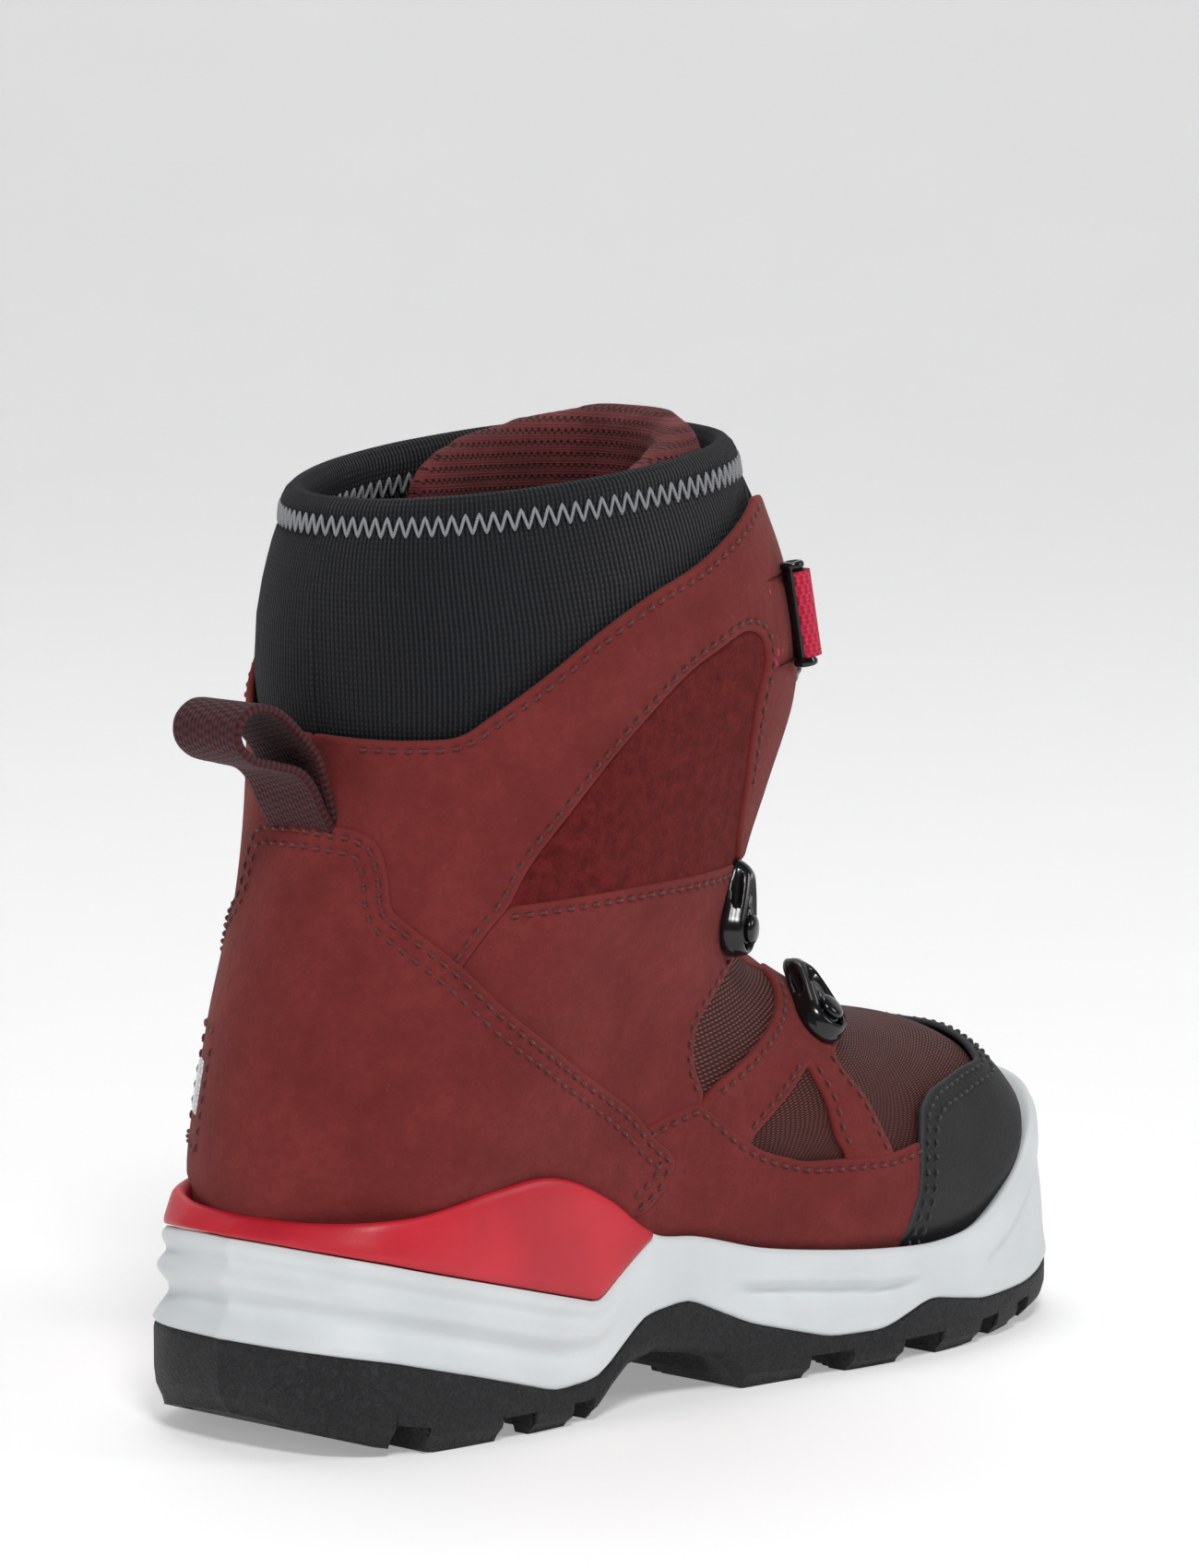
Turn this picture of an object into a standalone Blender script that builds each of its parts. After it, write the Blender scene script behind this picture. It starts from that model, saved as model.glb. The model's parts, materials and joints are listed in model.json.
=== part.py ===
"""A child's winter hiking boot for the right foot, one object for each sewn, moulded or turned piece.

Lengths are millimetres, and x is measured forward from the back of the sole until `to_scene` turns
them into metres and puts the origin on the ground under the middle of the heel. The toe points along
+X, the outer side of the foot along -Y, and +Z is up.

The upper is one closed skin, charted by (s, w): s counts stations from the top of the tongue to the
toe tip, and w runs round the boot, 0 along the front and top line, -1 or +1 along the back and under
line, minus on the outer side. Each panel is a patch of that chart with a thickness.
"""

import math

import bmesh
import bpy
import numpy as np
from mathutils import Matrix, Vector
from mathutils.geometry import delaunay_2d_cdt

# ---------------------------------------------------------------- driving dimensions, millimetres
MM = 0.001
HEEL_BACK = 30.0
SEAM_GAP = 0.25
LEATHER = (0.0, -1.4)
STIFFENER = (-2.3, -3.0)
LINING = (-3.6, -6.4)
BOARD_LAYER = (-0.8, -1.6)
COLLAR_SKIN = (-2.6, -5.6)
TONGUE_PAD = (-7.4, -12.8)
SOLE_CLEARANCE = 0.6
CELL_S = 0.6
CELL_W = 0.06
TUNNEL_RADIUS = 1.0
TUNNEL_HEIGHT = 2.0
GUIDE_HEIGHT = 4.2
RIVET_BORE, RIVET_RADIUS, RIVET_HEAD, RIVET_PLAY = 1.9, 1.6, 3.1, 0.3
TUBE_RADIUS, TUBE_HALF, TUBE_FORWARD = 1.9, 9.6, 4.6
CUFF_GUIDE_PLACE = (2.78, 0.275)
WEB_THICK, TAB_HALF, TAB_REACH = 0.9, 7.8, 6.4
LOOP_WIDTH = 16.0
LOOP_THICK = 1.6
DIAL_STATION = 3.45
DIAL_RADIUS = 11.5
DIAL_PORT_ANGLES, DIAL_PORT_HEIGHT = (150, 210), 3.2

# Stations: (front x, front z, back x, back z), from the tongue's top over the collar rim to the toe.
STATIONS = [
    (119, 184, 29, 177), (121, 171, 26.5, 163), (128, 155, 24.5, 149), (132, 138, 24.5, 133),
    (131.5, 121, 24.5, 119), (126, 104, 22.5, 104), (121, 91, 18.5, 88), (123, 81, 12.5, 72),
    (129.5, 75.5, 8.5, 56), (138, 70.5, 7, 42), (146.5, 66, 9.5, 27), (154, 63, 30, 19),
    (161, 61, 58, 18.5), (168, 59.3, 86, 21), (175, 58, 112, 16), (181, 56.5, 135, 13),
    (187, 54, 153, 12.5), (192, 50.8, 168, 14), (197, 46, 181, 17), (201.5, 40.5, 192, 21),
    (204.5, 35, 200, 25.5), (205.5, 30, 205.5, 30),
]
# Half widths of the foot by x and of the shaft by z: (x or z, outer side, inner side).
FOOT_HALF = [(0, 24, 25), (15, 29.5, 30.5), (35, 31.3, 31.3), (60, 31.8, 30), (85, 32.6, 30.4),
             (110, 35.6, 33.8), (135, 39, 38), (155, 39.5, 38), (175, 38.5, 36), (206, 37, 34)]
SHAFT_HALF = [(40, 33, 32), (60, 33.5, 32.5), (80, 35.5, 35), (100, 38, 37.5), (120, 40, 39.5),
              (140, 41, 40), (160, 38.5, 35), (184, 36.5, 33)]
CENTRE_LINE = [(0, 0), (60, 0), (110, -0.5), (150, 0.5), (180, 2.5), (206, 4)]
FRONT_ROUND = [(0, 46), (1, 48), (2, 50), (4, 52), (5, 58), (7, 52), (9, 42), (11, 38), (15, 35), (21, 34)]
BACK_ROUND = [(27, 33), (50, 34), (70, 40), (90, 45), (120, 47), (163, 50), (184, 50)]
UNDER_ROUND = 14.0
ANKLE_Z, ANKLE_SPAN = 42.0, 50.0

# Sole: half outlines from the heel's back to the toe tip, and heights along the wall.
SOLE_OUTER = [(0, 0), (3.5, -17), (15, -29), (40, -33.8), (75, -34.6), (105, -37.8), (140, -43), (167, -41),
              (190, -32.6), (205, -16), (211.5, 3)]
SOLE_INNER = [(0, 0), (3.5, 17), (15, 29.2), (40, 33.6), (75, 33), (108, 36.4), (143, 42.4), (170, 41.6),
              (192, 35), (206, 21.5), (211.5, 3)]
TREAD_Z = [(0, 6.5), (6, 4.4), (13, 2.2), (24, 0), (60, 0), (62, 0.8), (66, 4.6), (71, 8.4), (78, 10),
           (88, 8.4), (95, 6.2), (100, 0), (155, 0), (172, 0.8), (187, 2.2), (200, 4.6), (211.5, 8.5)]
PARTING_Z = [(0, 20), (14, 17.5), (33, 12.5), (51, 7.4), (62, 8), (74, 17.5), (85, 19), (100, 12.5),
             (119, 7.4), (132, 7.2), (144, 11.5), (161, 8.6), (178, 8.6), (190, 10), (200, 12), (211.5, 16)]
STABILIZER_Z = [(0, 37.5), (14, 34.5), (33, 29.5), (63, 21.5), (77, 32)]
RIM_Z = [(0, 40.8), (12, 41.5), (21, 42), (38, 45), (51, 45.5), (66, 39.5), (77, 32), (88, 30),
         (103, 26), (119, 23.5), (134, 22), (148, 21.5), (161, 23), (175, 29), (188, 37), (198, 42),
         (211.5, 44)]
RIM_INSET = [(0, 5.6), (12, 3.2), (30, 1), (60, 0.3), (150, 0.3), (190, 1.4), (211.5, 4)]
TREAD_INSET = 2.5
NOTCHES = [(15.5, 22), (38, 46), (55.5, 61), (114.5, 124.5), (137, 148), (160, 166), (174, 179)]
NOTCH_DEEP, NOTCH_HIGH = 10.0, 3.6

# Panel edges on the outer side, as (x, z) in the side view; the inner side mirrors them.
TOP_LINE = [(26, 124.4), (30, 124.5), (35, 125.4), (39, 129), (49, 137), (56, 142), (68, 148),
            (80, 152), (94, 157.5), (106, 162.5)]
HEEL_EDGE = [(24.8, 108.6), (26, 106.5), (26, 102.8), (25, 95), (33, 85), (40, 77), (53, 67.6),
             (75.5, 51.7), (82, 46.5), (83, 44.5), (81.3, 40.6), (72, 36)]
INSET_EDGE = [(104, 96), (101.4, 104), (101, 108), (99.5, 120), (99, 128), (101, 134), (97, 138.8),
              (89, 138.8), (78, 134.3), (64, 124), (50.6, 109.6), (44, 101), (41, 95.2)]
INSET_FOOT = [(41, 95.2), (56, 96), (71, 96.3), (88, 96.2), (104, 96)]
WINDOW_BACK = [(106.5, 79.4), (96.3, 73.4), (89.6, 67.2), (89.1, 60.9), (91.5, 55.8)]
WINDOW_FRONT = [(94.5, 56.8), (111, 63.2), (119, 66.9), (125.5, 71.6)]
STRAP_REAR = [(103.4, 46.4), (113, 52), (121.6, 57)]
STRAP_FRONT = [(124.6, 42.6), (122.6, 50), (121.6, 57)]
STRAP_TOE = [(130.4, 57.6), (134.5, 49.5), (138.1, 41.3)]
GUARD_TOP = [(100.2, 46.5), (108.9, 42.2), (119.5, 39.9), (133.8, 38.9), (146.4, 39.8)]
CAP_EDGE = [(137.6, 17.8), (141, 25), (143.8, 30.4), (146.7, 40.3), (149.5, 45), (154, 47), (165, 48.4),
            (179.7, 49)]
THROAT_EDGE_W = 0.235
SHIELD_W = 0.2

# The side edge of the pull loop, from the strand on the boot round to the outer strand.
LOOP_PATH = [(22.4, 109.6), (21.6, 116), (19.2, 121.5), (15, 126), (9.6, 130.2), (4.2, 131.4),
             (0.2, 129.2), (0, 125.6), (3.4, 122.6), (9, 121), (14.6, 119.4), (18, 116.4), (19.4, 112.6),
             (19.7, 109.6)]


# ---------------------------------------------------------------- curves and the boot's skin
def curve(rows):
    """A smooth curve through rows of (t, value, ...), whose slope at each row follows its neighbours."""
    rows = np.asarray(rows, float)
    t, v = rows[:, 0], rows[:, 1:]
    slope = np.gradient(v, t, axis=0)

    def at(q):
        q = np.clip(np.asarray(q, float), t[0], t[-1])
        i = np.clip(np.searchsorted(t, q, side="right") - 1, 0, len(t) - 2)
        h = (t[i + 1] - t[i])[..., None]
        u = (q - t[i])[..., None] / h
        start = (2 * u**3 - 3 * u**2 + 1) * v[i] + (u**3 - 2 * u**2 + u) * h * slope[i]
        end = (3 * u**2 - 2 * u**3) * v[i + 1] + (u**3 - u**2) * h * slope[i + 1]
        value = start + end
        return value if v.shape[1] > 1 else value[..., 0]

    return at


def straight(rows):
    """Straight stretches through rows of (t, value)."""
    t, v = np.asarray(rows, float).T
    return lambda q: np.interp(q, t, v)


LAST = len(STATIONS) - 1
FRONT = curve([(i, x, z) for i, (x, z, _, _) in enumerate(STATIONS)])
BACK = curve([(i, x, z) for i, (_, _, x, z) in enumerate(STATIONS)])
LINE_STEPS = np.linspace(0, LAST, 500)
FRONT_LINE = FRONT(LINE_STEPS)
BACK_LINE = BACK(LINE_STEPS[LINE_STEPS <= 10])[::-1]
UNDER_LINE = BACK(LINE_STEPS[LINE_STEPS > 9.7])
foot_half, shaft_half = curve(FOOT_HALF), curve(SHAFT_HALF)
centre_line, front_round, back_round = curve(CENTRE_LINE), curve(FRONT_ROUND), curve(BACK_ROUND)


def underside(x):
    """Height of the upper's underside at x."""
    return np.interp(x, UNDER_LINE[:, 0], UNDER_LINE[:, 1])


def ease(t):
    t = np.clip(t, 0, 1)
    return t * t * (3 - 2 * t)


def shoulder(depth, reach, power):
    """0 at the edge, 1 from `reach` inwards, as a rounded shoulder."""
    return (1 - (1 - np.clip(depth / reach, 0, 1)) ** power) ** (1 / power)


def front_depth(x, z):
    """How far (x, z) lies behind the front line, and the station next to it."""
    start, step = FRONT_LINE[:-1], np.diff(FRONT_LINE, axis=0)
    point = np.stack([x, z], -1)[..., None, :]
    along = np.clip(((point - start) * step).sum(-1) / (step * step).sum(-1), 0, 1)
    depth = np.linalg.norm(point - start - along[..., None] * step, axis=-1)
    i = depth.argmin(-1)[..., None]
    station = (i + np.take_along_axis(along, i, -1))[..., 0] * LAST / len(start)
    return np.take_along_axis(depth, i, -1)[..., 0], station


def half_width(x, z, side):
    """Half the boot's width at (x, z) of the side view, on side 0 (outer) or 1 (inner)."""
    depth, station = front_depth(x, z)
    shaft = ease((z - ANKLE_Z) / ANKLE_SPAN)
    widest = foot_half(x)[..., side] * (1 - shaft) + shaft_half(z)[..., side] * shaft
    behind = x - np.interp(z, BACK_LINE[:, 1], BACK_LINE[:, 0])
    return (widest * shoulder(depth, front_round(station), 2.25) * shoulder(behind, back_round(z), 2.1)
            * shoulder(z - underside(x), UNDER_ROUND, 3))


def skin(s, w):
    """Points of the boot's outer skin at chart places (s, w)."""
    s, w = np.broadcast_arrays(np.asarray(s, float), np.asarray(w, float))
    w = (w + 1) % 2 - 1
    share = ((1 - np.cos(np.pi * w)) / 2)[..., None]
    xz = FRONT(s) * (1 - share) + BACK(s) * share
    x, z = xz[..., 0], xz[..., 1]
    y = np.where(w < 0, -half_width(x, z, 0), half_width(x, z, 1)) + centre_line(x)
    return np.stack([x, y, z], -1)


def normals(s, w):
    """Outward unit normals of the skin; on the front and back lines they stay upright in the side view."""
    s, w = np.broadcast_arrays(np.asarray(s, float), np.asarray(w, float))
    s = np.clip(s, 0.02, LAST - 0.02)
    along = skin(s + 0.02, w) - skin(s - 0.02, w)
    round_ = skin(s, w + 0.01) - skin(s, w - 0.01)
    out = np.cross(along, round_)
    return out / np.linalg.norm(out, axis=-1, keepdims=True)


def raised(s, w, height):
    """Points a height above the skin, in millimetres."""
    return skin(s, w) + normals(s, w) * np.asarray(height, float)[..., None]


def on_side(x, z):
    """Chart place (s, w) of the outer-side point that the side view shows at (x, z)."""
    s = np.linspace(0, LAST, 2000)
    front, across = FRONT(s), BACK(s) - FRONT(s)
    turn = across[:, 0] * (z - front[:, 1]) - across[:, 1] * (x - front[:, 0])
    i = np.flatnonzero(np.diff(np.sign(turn)))[0]
    place = s[i] + (s[1] - s[0]) * turn[i] / (turn[i] - turn[i + 1])
    front, across = FRONT(place), BACK(place) - FRONT(place)
    share = np.clip(((x, z) - front) @ across / (across @ across), 0, 1)
    return place, -math.acos(1 - 2 * share) / math.pi


# ---------------------------------------------------------------- building blocks
def to_scene(points):
    """Metres, with the origin under the middle of the heel."""
    return [Vector(((x - HEEL_BACK) * MM, y * MM, z * MM)) for x, y, z in np.asarray(points, float)]


def finish(colour, roughness, metallic=0.0):
    """A Principled material with one colour, made once for each set of values."""
    name = "finish_%02x%02x%02x_%d" % (*[round(c * 255) for c in colour], round(roughness * 100))
    material = bpy.data.materials.get(name) or bpy.data.materials.new(name)
    material.use_nodes = True
    shader = material.node_tree.nodes["Principled BSDF"]
    shader.inputs["Base Color"].default_value = (*colour, 1)
    shader.inputs["Roughness"].default_value = roughness
    shader.inputs["Metallic"].default_value = metallic
    return material


NUBUCK = finish((0.18, 0.024, 0.022), 0.85)
SUEDE = finish((0.115, 0.01, 0.01), 0.95)
MESH = finish((0.08, 0.014, 0.011), 0.8)
TONGUE_MESH = finish((0.155, 0.026, 0.03), 0.85)
NEOPRENE = finish((0.022, 0.024, 0.028), 0.8)
FLEECE = finish((0.05, 0.05, 0.055), 0.95)
RED_PLASTIC = finish((0.58, 0.014, 0.03), 0.35)
WHITE_FOAM = finish((0.68, 0.72, 0.73), 0.5)
RUBBER = finish((0.017, 0.017, 0.019), 0.6)
CAP_COAT = finish((0.024, 0.021, 0.024), 0.55)
WEBBING = finish((0.08, 0.008, 0.01), 0.75)
RED_WEBBING = finish((0.7, 0.015, 0.06), 0.6)
BLACK_PLASTIC = finish((0.01, 0.01, 0.011), 0.25)
STEEL = finish((0.45, 0.45, 0.46), 0.3, 1.0)
BOARD = finish((0.3, 0.24, 0.16), 0.9)
REFLECTOR = finish((0.55, 0.56, 0.57), 0.3)


def add_mesh(name, points, faces, material, smooth=True):
    """One closed object from millimetre points; faces end up pointing out."""
    mesh = bpy.data.meshes.new(name)
    bm = bmesh.new()
    corners = [bm.verts.new(p) for p in to_scene(points)]
    for face in faces:
        if len(set(face)) > 2:
            bm.faces.new([corners[i] for i in face])
    bmesh.ops.remove_doubles(bm, verts=bm.verts, dist=1e-6)
    bmesh.ops.recalc_face_normals(bm, faces=bm.faces)
    bm.to_mesh(mesh)
    bm.free()
    mesh.materials.append(material)
    if smooth:
        mesh.shade_smooth()
        mesh.set_sharp_from_angle(angle=math.radians(35))
    piece = bpy.data.objects.new(name, mesh)
    bpy.context.scene.collection.objects.link(piece)
    return piece


def set_origin(piece, place):
    """Moves an object's origin to a millimetre place and leaves its shape where it is."""
    origin = to_scene([place])[0]
    piece.data.transform(Matrix.Translation(-origin))
    piece.location = origin


def cut(piece, cutter, name="cut"):
    """Takes a hidden cutter away from a piece."""
    cutter.hide_render = True
    cutter.display_type = "WIRE"
    modifier = piece.modifiers.new(name, "BOOLEAN")
    modifier.operation = "DIFFERENCE"
    modifier.object = cutter
    return piece


# ---------------------------------------------------------------- patches and shells of the skin
def mirrored(outline):
    """The same outline on the inner side, running the other way round."""
    return [(s, -w) for s, w in reversed(outline)]


def on_outer(points):
    return [on_side(x, z) for x, z in points]


def dense(outline):
    """Chart outline with a place at least every cell along each of its sides."""
    places = []
    for (s0, w0), (s1, w1) in zip(outline, outline[1:] + outline[:1]):
        steps = max(1, math.ceil(max(abs(s1 - s0) / CELL_S, abs(w1 - w0) / CELL_W)))
        places += [(s0 + (s1 - s0) * k / steps, w0 + (w1 - w0) * k / steps) for k in range(steps)]
    places = np.array(places)
    step = (places - np.roll(places, 1, axis=0)) / (CELL_S, CELL_W)
    places = places[np.linalg.norm(step, axis=1) > 0.1]
    s, w = places.T
    area = (w * np.roll(s, -1) - s * np.roll(w, -1)).sum()
    return places if area > 0 else places[::-1]


def drawn_in(places, gap):
    """Chart outline moved inwards by a gap in millimetres along the skin."""
    s, w = places.T
    point = skin(s, w)
    before, after = np.roll(point, 1, axis=0), np.roll(point, -1, axis=0)
    heading = after - before
    inward = np.cross(heading, normals(s, w))
    inward /= np.linalg.norm(inward, axis=1, keepdims=True)
    by_s = (skin(s + 0.01, w) - skin(s - 0.01, w)) / 0.02
    by_w = (skin(s, w + 0.01) - skin(s, w - 0.01)) / 0.02
    moved = []
    for place, a, b, v in zip(places, by_s, by_w, inward):
        frame = np.stack([a, b], 1)
        moved.append(place + np.linalg.lstsq(frame, v * gap, rcond=None)[0])
    return np.array(moved)


def inside(places, edge):
    """Which chart places lie inside a closed edge."""
    s, w = places.T
    found = np.zeros(len(places), bool)
    for (s0, w0), (s1, w1) in zip(edge, np.roll(edge, -1, axis=0)):
        if s0 != s1:
            found ^= ((s0 > s) != (s1 > s)) & (w < w0 + (w1 - w0) * (s - s0) / (s1 - s0))
    return found


def clear_of(places, edge, distance):
    """Which chart places are at least a distance, in cells, from a closed edge."""
    cells = places / (CELL_S, CELL_W)
    start = edge / (CELL_S, CELL_W)
    step = np.roll(start, -1, axis=0) - start
    away = cells[:, None] - start
    along = np.clip((away * step).sum(-1) / np.maximum((step * step).sum(-1), 1e-12), 0, 1)
    return np.linalg.norm(away - along[..., None] * step, axis=-1).min(1) > distance


def patch(name, outline, layer, material, gap=SEAM_GAP):
    """A panel: the part of the skin inside a chart outline, between two heights."""
    edge = drawn_in(dense(outline), gap)
    low, high = np.floor(edge.min(0) / (CELL_S, CELL_W)), np.ceil(edge.max(0) / (CELL_S, CELL_W))
    grid = np.stack(np.meshgrid(np.arange(low[0], high[0] + 1) * CELL_S,
                                np.arange(low[1], high[1] + 1) * CELL_W, indexing="ij"), -1).reshape(-1, 2)
    grid = grid[inside(grid, edge) & clear_of(grid, edge, 0.45)]
    flat = [Vector((w / CELL_W, s / CELL_S)) for s, w in np.concatenate([edge, grid])]
    rim = [(i, (i + 1) % len(edge)) for i in range(len(edge))]
    flat, _, triangles, *_ = delaunay_2d_cdt(flat, rim, [], 1, 1e-6)
    used = sorted({i for triangle in triangles for i in triangle})
    renumber = {old: new for new, old in enumerate(used)}
    triangles = [[renumber[i] for i in triangle] for triangle in triangles]
    w, s = np.array([(flat[i].x * CELL_W, flat[i].y * CELL_S) for i in used]).T
    sides = {(t[i], t[(i + 1) % 3]) for t in triangles for i in range(3)}
    count = len(used)
    faces = [list(t) for t in triangles] + [[i + count for i in reversed(t)] for t in triangles]
    faces += [[b, a, a + count, b + count] for a, b in sides if (b, a) not in sides]
    points = np.concatenate([raised(s, w, np.full(count, height)) for height in layer])
    return add_mesh(name, points, faces, material)


def tube_rows(rows, height, columns):
    """Rings of points round the boot at the given stations and height."""
    w = np.linspace(-1, 1, columns, endpoint=False)
    return [raised(np.full(columns, s), w, np.full(columns, height)) for s in rows]


def loft(rings, closed_ends=(True, True)):
    """Points and faces of a loft over equal rings; a closed end gets a fan to its middle."""
    count = len(rings[0])
    points = np.concatenate(rings)
    faces = []
    for i in range(len(rings) - 1):
        for j in range(count):
            k = (j + 1) % count
            faces.append([i * count + j, i * count + k, (i + 1) * count + k, (i + 1) * count + j])
    for closed, ring in zip(closed_ends, (0, len(rings) - 1)):
        if closed:
            middle = len(points)
            points = np.concatenate([points, [rings[ring].mean(0)]])
            faces += [[ring * count + j, ring * count + (j + 1) % count, middle] for j in range(count)]
    return points, faces


# ---------------------------------------------------------------- the sole
SOLE_T = np.linspace(0, 10, 41)
BAND_T = SOLE_T[SOLE_T <= 4]
sole_outer = curve([(i, x, y) for i, (x, y) in enumerate(SOLE_OUTER)])
sole_inner = curve([(i, x, y) for i, (x, y) in enumerate(SOLE_INNER)])
tread_z, parting_z, stabilizer_z = straight(TREAD_Z), straight(PARTING_Z), straight(STABILIZER_Z)
rim_z, rim_inset = straight(RIM_Z), straight(RIM_INSET)
midsole_top = straight(STABILIZER_Z + [row for row in RIM_Z if row[0] > STABILIZER_Z[-1][0]])
TOP_GAP = 0.3


def wall(side, t, inset):
    """Plan points of the sole's wall on side 0 (outer) or 1 (inner), drawn in by inset(x)."""
    line = (sole_outer, sole_inner)[side]
    plan = line(t)
    heading = (line(t + 0.01) - line(t - 0.01)) * (1, -1)[side]
    inward = np.stack([-heading[:, 1], heading[:, 0]], 1)
    inward /= np.linalg.norm(inward, axis=1, keepdims=True)
    inward[t == SOLE_T[0]] = (1, 0)
    inward[t == SOLE_T[-1]] = (-1, 0)
    return plan + inward * np.broadcast_to(inset(plan[:, 0]), len(t))[:, None]


def sole_slab(name, t, levels, material):
    """A solid in the sole's plan over stations t; levels are (inset(x), height(x)) from the bottom up."""
    points, faces = [], []
    for inset, height in levels:
        for side in (0, 1):
            plan = wall(side, t, inset)
            points += [(x, y, z) for (x, y), z in zip(plan, height(plan[:, 0]))]
    count = len(t)

    def at(level, side, i):
        return (2 * level + side) * count + i

    top = len(levels) - 1
    for i in range(count - 1):
        faces.append([at(0, 0, i), at(0, 1, i), at(0, 1, i + 1), at(0, 0, i + 1)])
        faces.append([at(top, 0, i), at(top, 0, i + 1), at(top, 1, i + 1), at(top, 1, i)])
    for level in range(top):
        for i in range(count - 1):
            for side in (0, 1):
                faces.append([at(level, side, i), at(level, side, i + 1),
                              at(level + 1, side, i + 1), at(level + 1, side, i)])
        for i in (0, count - 1):
            faces.append([at(level, 0, i), at(level, 1, i), at(level + 1, 1, i), at(level + 1, 0, i)])
    return add_mesh(name, points, faces, material, smooth=False)


def lifted(height, lift):
    return lambda x: height(x) + lift


def scaled(value, factor):
    return lambda x: value(x) * factor


def flush(x):
    return x * 0


def box_mesh(name, boxes):
    """Separate boxes, each from its lowest to its highest corner, as one hidden cutter."""
    points, faces = [], []
    for low, high in boxes:
        n = len(points)
        x_ends, y_ends, z_ends = zip(low, high)
        points += [(x, y, z) for x in x_ends for y in y_ends for z in z_ends]
        faces += [[n + i for i in face] for face in ((0, 1, 3, 2), (4, 6, 7, 5), (0, 4, 5, 1),
                                                    (2, 3, 7, 6), (0, 2, 6, 4), (1, 5, 7, 3))]
    return add_mesh(name, points, faces, RUBBER, smooth=False)


def tread_grooves():
    """Side notches between the lugs, in the heel and in the forefoot, on both edges."""
    boxes = []
    for back, front in NOTCHES:
        middle = (back + front) / 2
        for out, line in ((-1, sole_outer), (1, sole_inner)):
            near = line(SOLE_T)
            edge = np.interp(middle, near[:, 0], near[:, 1])
            reach = sorted((edge + out * NOTCH_DEEP, edge - out * NOTCH_DEEP))
            boxes.append(((back, reach[0], -NOTCH_HIGH), (front, reach[1], tread_z(middle) + NOTCH_HIGH)))
    return box_mesh("groove_cutter", boxes)


def boot_envelope():
    """The upper's outer form with its clearance, as the cutter that hollows the sole's bowl."""
    rows = np.arange(4.5, LAST - 0.4, CELL_S)
    points, faces = loft(tube_rows(rows, SOLE_CLEARANCE, round(2 / CELL_W)))
    return add_mesh("upper_cutter", points, faces, WHITE_FOAM)


def build_sole():
    outsole = sole_slab("outsole", SOLE_T, [
        (lambda x: flush(x) + TREAD_INSET, tread_z),
        (lambda x: flush(x) + 0.4, lambda x: tread_z(x) * 0.75 + parting_z(x) * 0.25),
        (flush, lifted(parting_z, -TOP_GAP / 2)),
    ], RUBBER)
    cut(outsole, tread_grooves())
    upper = boot_envelope()
    midsole = sole_slab("midsole", SOLE_T, [
        (flush, lifted(parting_z, TOP_GAP / 2)),
        (scaled(rim_inset, 0.45), lifted(midsole_top, -TOP_GAP / 2)),
    ], WHITE_FOAM)
    cut(midsole, upper)
    band = sole_slab("heel_stabilizer", BAND_T, [
        (scaled(rim_inset, 0.45), lifted(stabilizer_z, TOP_GAP / 2)),
        (rim_inset, lifted(rim_z, TOP_GAP)),
    ], RED_PLASTIC)
    cut(band, upper)


# ---------------------------------------------------------------- the upper
BACK_TOP = (3.59, -1)
BACK_HEEL = (4.66, -1)
BACK_FEATHER = (9.3, -1)
THROAT_TOP = (1.5, -THROAT_EDGE_W)
THROAT_ANKLE = (5.55, -THROAT_EDGE_W)
THROAT_LOW = (7.03, -0.25)
THROAT_END = (8.35, -0.155)
STAY_TOP = (8.55, -0.08)
STAY_TOE = (10.4, -0.1)
CAP_TOP = (16.4, 0)
CAP_TIP = (19.15, 0)
HEEL_FEATHER = [(69, 33), (60, 37), (50, 41), (38, 41), (21, 38), (12, 37.5)]
GUARD_FEATHER = [(128, 18.8), (119, 20.4), (103, 24), (88, 27.4), (76, 30.5)]
CAP_FEATHER = [(198, 38), (188, 33), (175, 25), (161, 19), (150, 17.5)]
SIDE_LOW = [(91.8, 55), (76.5, 51.2)]


def wrapped(outline):
    """The inner-side half of a panel that runs round the back line."""
    return [(s, -2 - w) for s, w in reversed(outline)]


def both_sides(name, outline, layer, material):
    patch(name + "_lateral", outline, layer, material)
    patch(name + "_medial", mirrored(outline), layer, material)


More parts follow.
